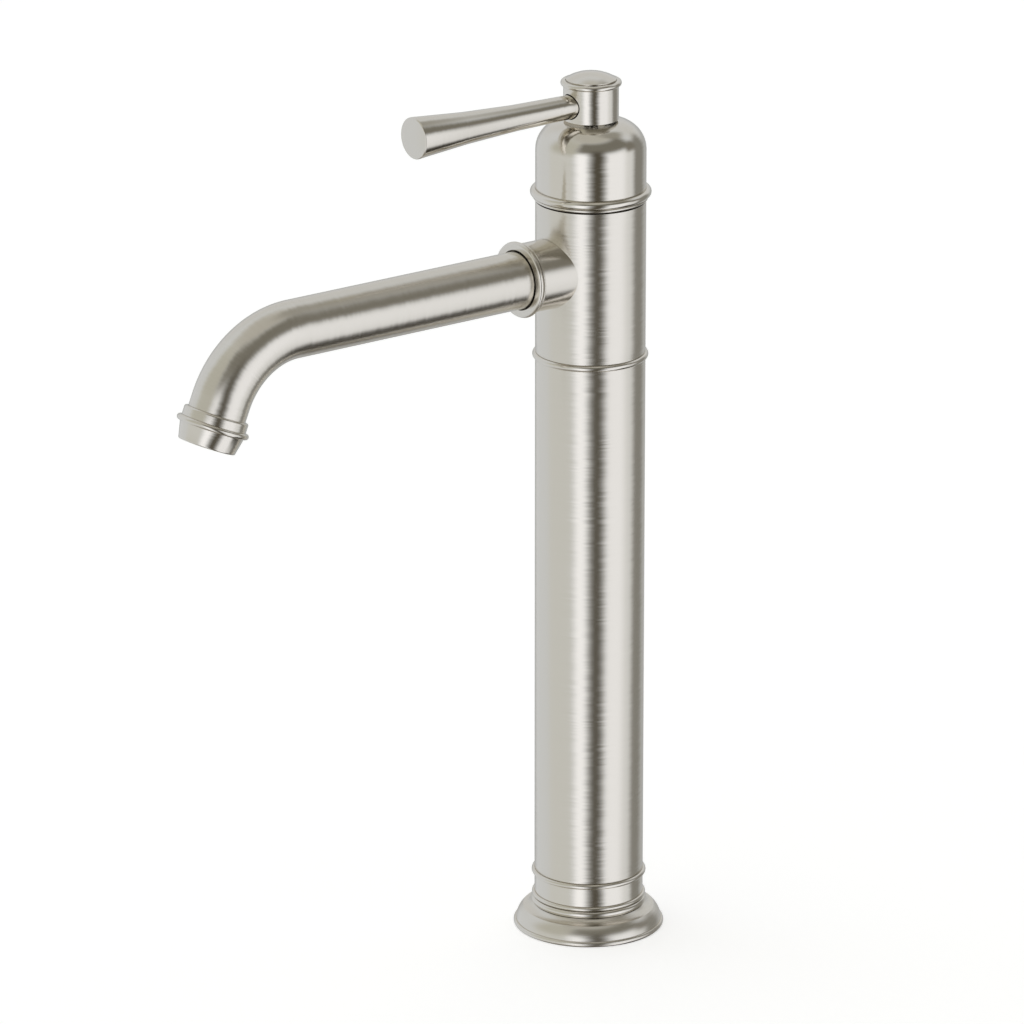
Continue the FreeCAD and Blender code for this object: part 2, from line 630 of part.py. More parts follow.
def mid_ring():
    """Round ring clamped between the column and the upper body."""
    steps = bead("column_radius", "mid_ring_reach", "mid_ring_section", "mid_ring_height")
    return turned("mid_ring", steps + [("bore_radius", "body_bottom"), ("bore_radius", "column_top")])


def upper_body():
    """Body with the spout socket, the cartridge seat and the drilled water ways."""
    body = turned("upper_body", [
        ("0", "body_foot"),
        ("spigot_radius", "body_foot"),
        ("spigot_radius", "body_bottom"),
        ("column_radius", "body_bottom"),
        ("column_radius", "seam_height"),
        ("neck_radius", "seam_height"),
        ("neck_radius", "neck_top"),
        ("0", "neck_top"),
    ])
    cylinder(body, "Additive", "socket", "boss_radius", "boss_length", z="spout_height", tilt="90")
    cylinder(body, "Subtractive", "cartridge_seat", "seat_radius", "neck_top - cartridge_floor",
             z="cartridge_floor")
    cylinder(body, "Subtractive", "socket_bore", "spout_bore", "boss_length - spout_entry",
             y="-spout_entry", z="spout_height", tilt="90")
    for count in (0, 1):
        start = f"-spout_seal_first - {count} * spout_seal_step + spout_seal_section + 0.5 * fit_gap"
        cylinder(body, "Subtractive", f"seal_groove_{count + 1}", "spout_groove",
                 "2 * spout_seal_section + fit_gap", y=start, z="spout_height", tilt="90")
    cylinder(body, "Subtractive", "waterway", "waterway_radius", "spout_entry + waterway_back",
             y="waterway_back", z="spout_height", tilt="90")
    cylinder(body, "Subtractive", "outlet_port", "port_radius", "cartridge_floor - spout_height",
             y="-outlet_port_front", z="spout_height")
    cylinder(body, "Subtractive", "set_screw_hole", "set_screw_radius", "boss_radius",
             y="-set_screw_reach", z="spout_height - boss_radius")
    for side, sign in (("hot", "-"), ("cold", "")):
        x, y = f"{sign}inlet_spread", "inlet_back"
        cylinder(body, "Subtractive", f"{side}_way", "port_radius", "cartridge_floor - body_foot",
                 x, y, "body_foot")
        cylinder(body, "Subtractive", f"{side}_socket", "tube_outer + fit_gap", "tube_plug_length",
                 x, y, "body_foot")
        cylinder(body, "Subtractive", f"{side}_groove", "tube_groove", "2 * tube_seal_section + fit_gap",
                 x, y, "body_foot + tube_seal_inset - tube_seal_section")
    return body


# --- spout ---------------------------------------------------------------------------------


def trim_collar():
    """Beaded collar on the end of the socket. Its own Z axis runs along the spout."""
    body = turned("trim_collar", [
        ("trim_bore", "boss_length"),
        ("trim_line_middle", "boss_length"),
        ("trim_line_middle", "trim_line_end", "trim_line_section", 1, False),
        ("trim_groove_radius", "trim_line_end"),
        ("trim_groove_radius", "trim_bead_start"),
        ("trim_bead_middle", "trim_bead_start"),
        ("trim_bead_middle", "trim_face", "trim_bead_section", 1, False),
        ("trim_bore", "trim_face"),
    ])
    return place(body, along_z="spout_height", tilt="90")


def spout_tube():
    """Bent tube: a straight run, one bend and a short tail inside the nozzle."""
    body = new_body("spout_tube")
    walls = [(radius, "0", "0") for radius in ("spout_radius", "spout_radius - spout_wall")]
    section = circles(body, "spout_section", "XZ_Plane", walls)
    run = "(spout_straight - spout_entry)"
    bend_out = f"{run} + spout_bend_radius * sin(spout_bend_angle)"
    bend_down = "spout_bend_radius * (1 - cos(spout_bend_angle))"
    path = outline(body, "spout_path", "YZ_Plane", [
        ("0", "0"),
        (f"-{run}", "0"),
        (f"-({bend_out})", f"-{bend_down}", "spout_bend_radius", 1, False),
        (f"-({bend_out}) - spout_tail * cos(spout_bend_angle)",
         f"-{bend_down} - spout_tail * sin(spout_bend_angle)"),
    ], closed=False)
    pipe = body.newObject("PartDesign::AdditivePipe", "spout_pipe")
    pipe.Profile = section
    pipe.Spine = path
    return place(body, along_y="-spout_entry", along_z="spout_height")


def spout_seals():
    """Two ring seals in the grooves of the socket's bore."""
    places = [("0", f"-spout_seal_first - {count} * spout_seal_step", "spout_height") for count in (0, 1)]
    radius = "spout_radius + spout_seal_section + 0.5 * fit_gap"
    return ring_seals("spout_seals", radius, "spout_seal_section", places, tilt="90")


def spout_set_screw():
    """Cup-point screw that holds the spout tube in its socket."""
    foot = "spout_height - boss_radius + set_screw_inset"
    body = turned("spout_set_screw", [
        ("0", foot),
        ("set_screw_radius - fit_gap", foot),
        ("set_screw_radius - fit_gap", "spout_height - spout_radius - fit_gap"),
        ("0", "spout_height - spout_radius - fit_gap"),
    ])
    return place(body, along_y="-set_screw_reach")


def at_nozzle(body):
    """Puts a piece on the nozzle's axis, which starts at the end of the bend."""
    return place(body, along_y="-spout_end_out", along_z="spout_end_height", tilt="90 + spout_bend_angle")


def nozzle():
    """Nozzle with a rounded lip, a bead and a tapered skirt."""
    lip = "nozzle_lip_round"
    long_way = number("nozzle_bead_middle") > number("nozzle_band_radius")
    under = "nozzle_bead_along + nozzle_bead_section"
    return at_nozzle(turned("nozzle", [
        ("spout_bore", "nozzle_start"),
        (f"nozzle_band_radius - {lip}", "nozzle_start"),
        ("nozzle_band_radius", f"nozzle_start + {lip}", lip, 1, False),
        ("nozzle_band_radius", "nozzle_bead_along - nozzle_bead_half"),
        ("nozzle_bead_middle", under, "nozzle_bead_section", 1, long_way),
        ("skirt_top_radius", under),
        ("outlet_radius", "outlet_along - outlet_round"),
        ("outlet_radius - outlet_round", "outlet_along", "outlet_round", 1, False),
        ("outlet_lip", "outlet_along"),
        ("outlet_lip", "aerator_bottom"),
        ("aerator_radius", "aerator_bottom"),
        ("aerator_radius", "spout_tail"),
        ("spout_bore", "spout_tail"),
    ]))


def aerator_washer():
    ring = ring_steps("washer_bore", "aerator_outer", "spout_tail", "aerator_top")
    return at_nozzle(turned("aerator_washer", ring))


def aerator_housing():
    ring = ring_steps("aerator_inner", "aerator_outer", "aerator_top", "aerator_bottom")
    return at_nozzle(turned("aerator_housing", ring))


def aerator_plate():
    """Perforated plate that breaks up the flow."""
    top = "aerator_top"
    body = turned("aerator_plate", [
        ("0", top),
        ("aerator_inner", top),
        ("aerator_inner", f"{top} + plate_thickness"),
        ("0", f"{top} + plate_thickness"),
    ])
    hole = cylinder(body, "Subtractive", "plate_hole", "plate_hole_radius", "plate_thickness",
                    x="plate_ring_radius", z=top)
    ring = body.newObject("PartDesign::PolarPattern", "plate_holes")
    ring.Originals = [hole]
    ring.Axis = (origin_plane(body, "Z_Axis"), [""])
    ring.Angle = 360
    ring.Occurrences = 12
    body.Tip = ring
    return at_nozzle(body)


def aerator_screen():
    """Perforated screen across the outlet: openings in rows that fit inside the rim."""
    body = new_body("aerator_screen")
    reach = number("aerator_inner - screen_opening")
    pitch = number("screen_pitch")
    rows = int(reach / pitch)
    rounds = [("aerator_inner", "0", "0")]
    for row in range(-rows, rows + 1):
        columns = int(math.sqrt(max(reach**2 - (row * pitch) ** 2, 0)) / pitch)
        for column in range(-columns, columns + 1):
            spot = ["0" if step == 0 else f"{step} * screen_pitch" for step in (column, row)]
            rounds.append(("0.5 * screen_opening", *spot))
    sketch = circles(body, "screen_openings", "XY_Plane", rounds)
    pad = body.newObject("PartDesign::Pad", "screen_sheet")
    pad.Profile = sketch
    bind(pad, Length="screen_thickness")
    return place(body, along_y="-spout_end_out - screen_along * cos(spout_bend_angle)",
                 along_z="spout_end_height - screen_along * sin(spout_bend_angle)",
                 tilt="90 + spout_bend_angle")


# --- turning cap -----------------------------------------------------------------------------


def turning_cap():
    """Domed cap with two beads, a step that rides on the glide ring and a slot for the stem."""
    wall = "column_radius"
    steps = [("cap_inner", "cap_bottom"), (wall, "cap_bottom")]
    steps += bead(wall, "cap_line_reach", "cap_line_section", "cap_line_height")
    steps += bead(wall, "cap_bead_reach", "cap_bead_section", "cap_bead_height")
    steps += [
        (wall, "cap_corner_height"),
        ("crown_flat", "cap_height", "cap_corner", 1, False),
        ("0", "cap_height"),
        ("0", "crown_underside"),
        ("crown_flat", "crown_underside"),
        ("cap_upper_inner", "crown_underside - cap_inner_corner", "cap_inner_corner", -1, False),
        ("cap_upper_inner", "cap_step_height"),
        ("cap_inner", "cap_step_height"),
    ]
    body = turned("turning_cap", steps)
    block(body, "Subtractive", "stem_slot", ("-slot_half", "-slot_half", "crown_underside"),
          ("slot_half", "crown_slot_back", "cap_height"))
    return body


def glide_ring():
    """Plastic ring on the neck that the cap turns on."""
    inner, outer = "neck_radius + fit_gap", "cap_inner - running_gap"
    return turned("glide_ring", [
        (inner, "neck_top - glide_depth"),
        (outer, "neck_top - glide_depth"),
        (outer, "glide_top"),
        ("seat_radius", "glide_top"),
        ("seat_radius", "neck_top"),
        (inner, "neck_top"),
    ])


# --- cartridge ---------------------------------------------------------------------------------


def port_places(height):
    """Hot, cold and outlet port of the cartridge."""
    return [
        ("-inlet_spread", "inlet_back", height),
        ("inlet_spread", "inlet_back", height),
        ("0", "-outlet_port_front", height),
    ]


def drill_ports(body, radius, depth, height):
    for count, spot in enumerate(port_places(height), start=1):
        cylinder(body, "Subtractive", f"{body.Label}_port_{count}", radius, depth, *spot)


def disc(label, radius, low, high):
    return turned(label, [("0", low), (radius, low), (radius, high), ("0", high)])


def cartridge_base():
    """Base of the cartridge, with a groove for a seal around each port."""
    low = "cartridge_floor"
    body = disc("cartridge_base", "cartridge_radius", low, "housing_foot")
    drill_ports(body, "port_radius", "cartridge_base_thickness", low)
    drill_ports(body, "port_seal_radius + port_seal_section + 0.5 * fit_gap",
                "2 * port_seal_section + fit_gap", low)
    return body


def port_seals():
    """Three ring seals between the cartridge base and its floor."""
    places = port_places("cartridge_floor + port_seal_section + 0.5 * fit_gap")
    return ring_seals("port_seals", "port_seal_radius", "port_seal_section", places)


def fixed_disc():
    body = disc("fixed_ceramic_disc", "fixed_disc_radius", "housing_foot", "fixed_disc_top")
    drill_ports(body, "port_radius", "fixed_disc_thickness", "housing_foot")
    return body


def moving_disc():
    """Ceramic disc with a blind pocket that joins the ports as it slides."""
    body = disc("moving_ceramic_disc", "moving_disc_radius", "moving_disc_foot", "carrier_foot")
    cylinder(body, "Subtractive", "mixing_pocket", "0.5 * moving_disc_radius",
             "0.5 * moving_disc_thickness", z="moving_disc_foot")
    return body


def disc_carrier():
    """Plastic carrier on the moving disc, with a hole for the stem's ball."""
    body = disc("disc_carrier", "moving_disc_radius", "carrier_foot", "carrier_top")
    cylinder(body, "Subtractive", "ball_hole", "ball_radius + disc_film", "carrier_top - ball_floor",
             z="ball_floor")
    return body


def cartridge_housing():
    """Plastic cup over the discs and the rotor."""
    roof = "housing_top - housing_roof"
    opening = "rotor_neck_radius + running_gap"
    return turned("cartridge_housing", [
        ("housing_inner", "housing_foot"),
        ("cartridge_radius", "housing_foot"),
        ("cartridge_radius", "housing_top"),
        (opening, "housing_top"),
        (opening, roof),
        ("housing_inner", roof),
    ])


def rotor():
    """Turning guide that carries the pivot pin, with a skirt around the disc carrier."""
    body = turned("rotor", [
        ("rotor_skirt_bore", "rotor_foot"),
        ("rotor_radius", "rotor_foot"),
        ("rotor_radius", "rotor_shoulder"),
        ("rotor_neck_radius", "rotor_shoulder"),
        ("rotor_neck_radius", "rotor_top"),
        ("0", "rotor_top"),
        ("0", "rotor_floor"),
        ("rotor_skirt_bore", "rotor_floor"),
    ])
    block(body, "Subtractive", "swing_slot", ("-yoke_slot_half", "-rotor_slot_front", "rotor_floor"),
          ("yoke_slot_half", "rotor_slot_back", "rotor_top"))
    pin_hole = body.newObject("PartDesign::SubtractiveCylinder", "pin_hole")
    bind(pin_hole, Radius="pin_radius + 0.2 * fit_gap", Height="pin_length + 2 * running_gap")
    across(pin_hole, "-0.5 * pin_length - running_gap")
    return body


def across(item, start):
    """Lays a piece along +X at the pivot's height, from start."""
    item.Placement = FreeCAD.Placement(FreeCAD.Vector(), FreeCAD.Rotation(FreeCAD.Vector(0, 1, 0), 90))
    bind(item, Placement__Base__x=start, Placement__Base__y="0", Placement__Base__z="pivot_height")
    return item


def pivot_pin():
    body = disc("pivot_pin", "pin_radius", "0", "pin_length")
    return across(body, "-0.5 * pin_length")


def cartridge_nut():
    """Threaded ring with a hexagonal socket that clamps the cartridge."""
    body = turned("cartridge_nut", ring_steps("nut_bore", "cartridge_radius", "housing_top", "neck_top"))
    hexagon(body, "key", "nut_hex", "nut_hex_depth", "neck_top - nut_hex_depth")
    return body


# --- handle --------------------------------------------------------------------------------------


def control_stem():
    """Steel stem with a ball at its foot, a thick part around the pin and a tapped top."""
    ball_end = "ball_height + sqrt(ball_radius^2 - ball_neck_radius^2)"
    body = turned("control_stem", [
        ("0", "ball_height - ball_radius"),
        ("ball_neck_radius", ball_end, "ball_radius", 1, False),
        ("ball_neck_radius", "pivot_height - yoke_half"),
        ("yoke_radius", "pivot_height - yoke_half"),
        ("yoke_radius", "pivot_height + yoke_half"),
        ("stem_radius", "pivot_height + yoke_half"),
        ("stem_radius", "stem_top"),
        ("0", "stem_top"),
    ])
    pin_hole = body.newObject("PartDesign::SubtractiveCylinder", "pin_way")
    bind(pin_hole, Radius="pin_radius + fit_gap", Height="2 * yoke_radius")
    across(pin_hole, "-yoke_radius")
    cylinder(body, "Subtractive", "screw_way", "hub_screw_radius", "hub_screw_length",
             z="stem_top - hub_screw_length")
    return body


def splash_shutter():
    """Thin spherical cap that keeps the crown's slot closed. Its centre is the pivot."""
    outer = "shutter_radius"
    inner = "(shutter_radius - shutter_wall)"
    hole = "stem_radius + fit_gap"
    rim = "shutter_rim"
    return turned("splash_shutter", [
        (hole, f"pivot_height + sqrt({inner}^2 - ({hole})^2)"),
        (rim, f"pivot_height + sqrt({inner}^2 - {rim}^2)", inner, -1, False),
        (rim, f"pivot_height + sqrt({outer}^2 - {rim}^2)"),
        (hole, f"pivot_height + sqrt({outer}^2 - ({hole})^2)", outer, 1, False),
    ])


def handle_hub():
    """Hub with a concave underside, a bead, a seat for the button and a seat for the lever."""
    hole = "stem_radius + fit_gap"
    screw = "hub_screw_radius + fit_gap"
    head = "hub_screw_head_radius + fit_gap"
    seat = "button_radius + fit_gap"
    steps = [
        (hole, f"pivot_height + sqrt(hub_sweep^2 - ({hole})^2)"),
        ("hub_radius", "hub_foot", "hub_sweep", -1, False),
        ("hub_radius", "hub_bead_height - hub_bead_section"),
        ("hub_bead_middle", "hub_bead_height - hub_bead_section"),
        ("hub_bead_middle", "hub_top", "hub_bead_section", 1, False),
        (seat, "hub_top"),
        (seat, "button_seat"),
        (head, "button_seat"),
        (head, "hub_screw_seat"),
        (screw, "hub_screw_seat"),
        (screw, "stem_top"),
        (hole, "stem_top"),
    ]
    body = turned("handle_hub", steps)
    cylinder(body, "Subtractive", "lever_seat", "lever_radius + lever_seat_gap",
             "hub_radius + hub_bead_proud - lever_seat", y="-lever_seat", z="lever_height", tilt="90")
    cylinder(body, "Subtractive", "lever_stud_hole", "lever_stud_radius + fit_gap", "lever_seat",
             z="lever_height", tilt="90")
    return body


def hub_button():
    """Domed button pressed into the hub's top."""
    crown = "button_edge_height + button_curve - sqrt(button_curve^2 - button_radius^2)"
    return turned("hub_button", [
        ("0", "button_seat"),
        ("button_radius", "button_seat"),
        ("button_radius", "button_edge_height"),
        ("0", crown, "button_curve", 1, False),
    ])


def hub_screw():
    """Socket screw that draws the hub down on the stem."""
    shank = "hub_screw_radius - fit_gap"
    top = "hub_screw_seat + hub_screw_head_height"
    body = turned("hub_screw", [
        ("0", "stem_top - hub_screw_length + running_gap"),
        (shank, "stem_top - hub_screw_length + running_gap"),
        (shank, "hub_screw_seat"),
        ("hub_screw_head_radius", "hub_screw_seat"),
        ("hub_screw_head_radius", top),
        ("0", top),
    ])
    hexagon(body, "hub_screw_socket", "hub_screw_key", "0.6 * hub_screw_head_height",
            f"{top} - 0.6 * hub_screw_head_height")
    return body


def lever_rod():
    """Lever that flares to its end. Its own Z axis runs along the lever."""
    flare = "(lever_length - lever_end_round - lever_slim_end)"
    gain = "(lever_end_radius - lever_radius)"
    curve = f"({flare}^2 + {gain}^2) / (2 * {gain})"
    face = "lever_end_radius - lever_end_round"
    crown = f"(({face})^2 + lever_end_crown^2) / (2 * lever_end_crown)"
    body = turned("lever_rod", [
        ("0", "lever_stud_tip"),
        ("lever_stud_radius", "lever_stud_tip"),
        ("lever_stud_radius", "lever_seat"),
        ("lever_radius", "lever_seat"),
        ("lever_radius", "lever_slim_end"),
        ("lever_end_radius", "lever_length - lever_end_round", curve, -1, False),
        (face, "lever_length", "lever_end_round", 1, False),
        ("0", "lever_length + lever_end_crown", crown, 1, False),
    ])
    return place(body, along_z="lever_height", tilt="90")


def check_document():
    """Stops on a feature that failed."""
    for item in doc.Objects:
        if {"Invalid", "Error"} & set(item.State):
            raise RuntimeError(f"{item.Label} failed: {item.State}")


def export(pieces):
    os.makedirs("parts", exist_ok=True)
    for piece in pieces:
        if piece.Shape.isNull() or not piece.Shape.isValid():
            raise RuntimeError(f"{piece.Label} has no valid shape")
    for piece in pieces:
        piece.Shape.exportStep(f"parts/{piece.Label}.step")
        print(f"{piece.Label}: {len(piece.Shape.Solids)} solid, {piece.Shape.Volume:.1f} mm3")


PIECES = [
    base_flange(),
    deck_seal(),
    base_collar(),
    inlet_block(),
    supply_tube("hot", "-"),
    supply_tube("cold", ""),
    supply_seals(),
    column_tube(),
    mid_ring(),
    upper_body(),
    trim_collar(),
    spout_tube(),
    spout_seals(),
    spout_set_screw(),
    nozzle(),
    aerator_washer(),
    aerator_housing(),
    aerator_plate(),
    aerator_screen(),
    turning_cap(),
    glide_ring(),
    cartridge_base(),
    port_seals(),
    fixed_disc(),
    moving_disc(),
    disc_carrier(),
    cartridge_housing(),
    rotor(),
    pivot_pin(),
    cartridge_nut(),
    control_stem(),
    splash_shutter(),
    handle_hub(),
    hub_button(),
    hub_screw(),
    lever_rod(),
]
doc.recompute()
check_document()
export(PIECES)
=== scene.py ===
"""Tall basin faucet in brushed nickel: a round column, a bent spout and a lever on a domed cap.

Every visible piece has its own operator. Lengths are metres, +Z is up, and the origin is the
middle of the base on the deck. The spout and the lever point along -Y.
"""

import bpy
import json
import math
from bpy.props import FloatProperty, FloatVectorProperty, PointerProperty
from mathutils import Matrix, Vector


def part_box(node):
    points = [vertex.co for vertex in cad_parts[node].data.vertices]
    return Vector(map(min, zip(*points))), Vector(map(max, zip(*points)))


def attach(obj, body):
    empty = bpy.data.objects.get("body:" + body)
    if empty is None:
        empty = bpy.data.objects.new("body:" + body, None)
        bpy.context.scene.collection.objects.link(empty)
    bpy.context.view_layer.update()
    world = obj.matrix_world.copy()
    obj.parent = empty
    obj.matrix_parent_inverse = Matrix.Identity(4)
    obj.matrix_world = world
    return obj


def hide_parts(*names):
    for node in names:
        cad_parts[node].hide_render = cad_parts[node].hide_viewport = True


bl_info = {
    "name": "Tall Basin Faucet",
    "version": (1, 0, 0),
    "blender": (4, 5, 0),
    "location": "3D View > Sidebar > Faucet",
    "description": "Turned, bent and brushed pieces of a tall basin faucet, with a plain studio",
    "category": "Add Mesh",
}

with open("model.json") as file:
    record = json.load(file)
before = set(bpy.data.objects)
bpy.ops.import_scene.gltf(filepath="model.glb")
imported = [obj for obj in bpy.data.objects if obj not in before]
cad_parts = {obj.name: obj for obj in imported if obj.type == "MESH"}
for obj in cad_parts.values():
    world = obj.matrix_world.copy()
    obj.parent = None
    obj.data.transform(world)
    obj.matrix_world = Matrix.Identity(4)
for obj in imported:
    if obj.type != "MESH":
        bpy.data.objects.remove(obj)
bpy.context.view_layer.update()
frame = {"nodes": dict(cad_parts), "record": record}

MM = 0.001

# --- how finely the pieces are made ---

SIDES = 192
TOOL_SIDES = 96
FLOOR_SIDES = 96
BODY_BANDS = 12
BEND_STEPS = 56

# An arc has at least LEAST_ARC_STEPS steps, each of ARC_STEP at most.
ARC_STEP = math.radians(7)
LEAST_ARC_STEPS = 3

# A corner between straight sides gets this round, which takes at most EDGE_SHARE of either side.
EDGE_ROUND = 0.16 * MM
EDGE_SHARE = 0.35
EDGE_STEPS = 3

# A pole is a ring of radius POLE, which becomes one point when points nearer than MERGE are merged.
POLE = 0.001 * MM
MERGE = 0.004 * MM

# Edges that turn by more than SHARP are shaded sharp. Faces further out of the wall than OFF_WALL
# belong to the socket. FORWARD tips what stands upright to point along -Y.
SHARP = math.radians(28)
OFF_WALL = 0.02 * MM
FORWARD = math.radians(90)

# --- places that the frame gives ---

FLANGE_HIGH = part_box("base_flange")[1]
COLLAR_LOW, COLLAR_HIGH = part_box("base_collar")
COLUMN_LOW, COLUMN_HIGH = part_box("column_tube")
RING_LOW, RING_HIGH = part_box("mid_ring")
BODY_LOW, BODY_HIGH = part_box("upper_body")
TRIM_LOW, TRIM_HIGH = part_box("trim_collar")
SPOUT_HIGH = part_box("spout_tube")[1]
CAP_LOW, CAP_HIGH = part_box("turning_cap")
HUB_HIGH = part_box("handle_hub")[1]
BUTTON_LOW, BUTTON_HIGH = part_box("hub_button")
LEVER_LOW, LEVER_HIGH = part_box("lever_rod")
BLOCK_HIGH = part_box("inlet_block")[1]
STEM_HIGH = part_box("control_stem")[1]
PIN_LOW, PIN_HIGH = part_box("pivot_pin")

WALL = COLUMN_HIGH.x
SPOUT_AXIS = (TRIM_LOW.z + TRIM_HIGH.z) / 2
PIVOT = (PIN_LOW.z + PIN_HIGH.z) / 2
LEVER_AXIS = (LEVER_LOW.z + LEVER_HIGH.z) / 2


def length(name, description, millimetres):
    return FloatProperty(
        name=name, description=description, default=millimetres * MM, unit="LENGTH", precision=5
    )


def share(name, description, value):
    return FloatProperty(
        name=name, description=description, default=value, min=0.0, max=1.0, subtype="FACTOR"
    )


def degrees(name, description, value):
    return FloatProperty(
        name=name, description=description, default=math.radians(value), subtype="ANGLE"
    )


def linear(hex_colour):
    """An sRGB hex value as a linear colour."""
    channels = [int(hex_colour[i : i + 2], 16) / 255 for i in (1, 3, 5)]
    return [c / 12.92 if c <= 0.04045 else ((c + 0.055) / 1.055) ** 2.4 for c in channels] + [1.0]


def colour(name, description, hex_colour):
    return FloatVectorProperty(
        name=name, description=description, default=linear(hex_colour), size=4, min=0.0, max=1.0,
        subtype="COLOR",
    )


class FaucetSizes(bpy.types.PropertyGroup):
    """Sizes of the turned, bent and carved pieces."""

    fit: length("Fit", "Gap between two pieces that slide together", 0.05)

    rim_height: length("Rim height", "Height of the flange's rim", 2.0)
    rim_round: length("Rim round", "Radius of the rim's round edge", 1.25)
    rim_step: length("Rim step", "Step from the rim to the shoulder", 0.4)
    shoulder_width: length("Shoulder width", "Convex shoulder of the flange, across", 2.8)
    shoulder_rise: length("Shoulder rise", "Convex shoulder of the flange, up", 5.3)
    shoulder_curve: length("Shoulder curve", "Radius of the convex shoulder", 8.0)
    cove_width: length("Cove width", "Cove of the flange, across", 3.8)
    cove_curve: length("Cove curve", "Radius of the cove", 5.0)
    seal_inner: length("Seal inner", "Inner radius of the recess for the deck seal", 20.5)
    seal_outer: length("Seal outer", "Outer radius of that recess", 25.5)
    seal_depth: length("Seal depth", "Depth of that recess", 1.5)
    block_lip: length("Block lip", "Lip of the inlet block, which rests in the collar", 0.9)
    block_lip_height: length("Block lip height", "Height of that lip", 3.0)

    low_ring: length("Low ring", "Section radius of the collar's lowest ring", 1.45)
    low_ring_proud: length("Low ring proud", "How far it stands out of the wall", 1.3)
    pair_ring: length("Second ring", "Section radius of the ring above it", 0.85)
    pair_ring_proud: length("Second ring proud", "How far it stands out", 1.0)
    top_ring: length("Top ring", "Section radius of the collar's top ring", 1.03)
    top_ring_proud: length("Top ring proud", "How far it stands out", 1.12)
    collar_band: length("Collar band", "Plain band of the collar", 7.32)
    spigot_wall: length("Spigot wall", "Wall of the spigot inside the column", 1.5)
    tube_wall: length("Column wall", "Wall of the column tube", 1.5)
    mid_ring: length("Ring", "Section radius of the ring on the column", 1.23)

    neck_inset: length("Neck inset", "Neck of the upper body behind its wall", 2.3)
    neck_height: length("Neck height", "Neck above the body's wall", 13.4)
    seat_radius: length("Seat radius", "Seat of the cartridge", 17.6)
    seat_depth: length("Seat depth", "Depth of that seat", 27.5)
    socket_radius: length("Socket radius", "Socket that holds the spout", 13.3)
    spout_entry: length("Spout entry", "From the cartridge's seat to the spout's bore", 1.0)

    trim_line: length("Trim line", "Section radius of the collar's thin bead", 0.45)
    trim_line_proud: length("Trim line proud", "How far it stands out", 0.55)
    trim_groove: length("Trim groove", "Groove between the two beads", 0.4)
    trim_bead: length("Trim bead", "Section radius of the front bead", 1.05)
    trim_gap: length("Trim gap", "Gap from the spout tube to the collar", 0.53)

    spout_radius: length("Spout radius", "Outer radius of the spout tube", 11.02)
    spout_wall: length("Spout wall", "Wall of the spout tube", 1.1)
    spout_straight: length("Spout straight", "Straight run from the column's axis", 139.07)
    spout_bend: length("Spout bend", "Centreline radius of the bend", 35.32)
    spout_tail: length("Spout tail", "Straight end inside the nozzle", 9.0)
    spout_turn: degrees("Spout turn", "Turn of the bend", 67.1)

    nozzle_start: length("Nozzle start", "Upper lip, from the end of the bend", 5.0)
    nozzle_band: length("Nozzle band", "Radius of the band above the bead", 12.35)
    nozzle_lip: length("Nozzle lip", "Round edge of the upper lip", 0.8)
    nozzle_bead_along: length("Nozzle bead place", "Centre of the bead along the nozzle", 9.9)
    nozzle_bead: length("Nozzle bead", "Section radius of the bead", 1.15)
    nozzle_bead_proud: length("Nozzle bead proud", "How far it stands out of the band", 1.49)
    skirt_radius: length("Skirt radius", "Skirt under the bead", 12.3)
    outlet_radius: length("Outlet radius", "Skirt at the outlet", 11.0)
    outlet_along: length("Outlet place", "Face of the outlet along the nozzle", 17.6)
    outlet_round: length("Outlet round", "Round edge of the outlet", 0.6)
    outlet_lip: length("Outlet lip", "Clear radius of the outlet", 9.7)
    outlet_lip_height: length("Outlet lip height", "Thickness of that lip", 0.9)
    aerator_bore: length("Aerator bore", "Bore for the aerator", 10.3)

    cap_ledge: length("Cap ledge", "Plain edge under the cap's thin bead", 0.08)
    cap_line: length("Cap line", "Section radius of that thin bead", 0.62)
    cap_line_proud: length("Cap line proud", "How far it stands out", 0.75)
    cap_bead: length("Cap bead", "Section radius of the large bead", 1.57)
    cap_bead_proud: length("Cap bead proud", "How far it stands out", 1.99)
    cap_corner: length("Cap corner", "Round corner of the crown", 11.0)
    cap_wall: length("Cap wall", "Wall of the cap around the neck", 1.4)
    cap_crown: length("Cap crown", "Thickness of the crown", 2.0)
    cap_step: length("Cap step", "Step inside the cap", 1.2)
    cap_step_rise: length("Cap step rise", "Step above the cap's lower edge", 13.95)

    hub_radius: length("Hub radius", "Hub on the cap", 10.5)
    hub_bead: length("Hub bead", "Section radius of the hub's bead", 1.05)
    hub_clearance: length("Hub clearance", "Least gap from hub to cap while it tilts", 0.2)
    stem_slot: length("Stem slot", "Half width of the crown's slot for the stem", 3.0)
    stem_slot_back: length("Stem slot back", "Back end of that slot", 10.57)
    stem_step: length("Stem step", "From the stem's yoke in to its way through the hub", 0.65)
    button_rim: length("Button rim", "Hub's rim around the button", 0.9)
    button_gap: length("Button gap", "Gap around the button", 0.05)
    button_edge: length("Button edge", "Button's edge above the hub", 0.5)
    button_curve: length("Button curve", "Radius of its domed face", 18.9)
    screw_radius: length("Screw radius", "Way of the screw through the hub", 1.55)
    screw_head: length("Screw head", "Way of its head", 2.8)
    screw_seat: length("Screw seat", "Seat of its head below the button", 4.0)

    lever_radius: length("Lever radius", "Slim part of the lever", 4.62)
    lever_end: length("Lever end", "Radius of its thick end", 7.95)
    lever_slim: length("Lever slim part", "Slim part outside the hub", 2.9)
    lever_round: length("Lever round", "Round edge of that end", 0.5)
    lever_crown: length("Lever crown", "Rise of its end face", 0.5)
    lever_seat: length("Lever seat", "Lever's seat inside the hub", 3.0)
    lever_gap: length("Lever gap", "Gap around the lever in the hub", 0.3)
    lever_stud: length("Lever stud", "Radius of the lever's stud", 2.5)


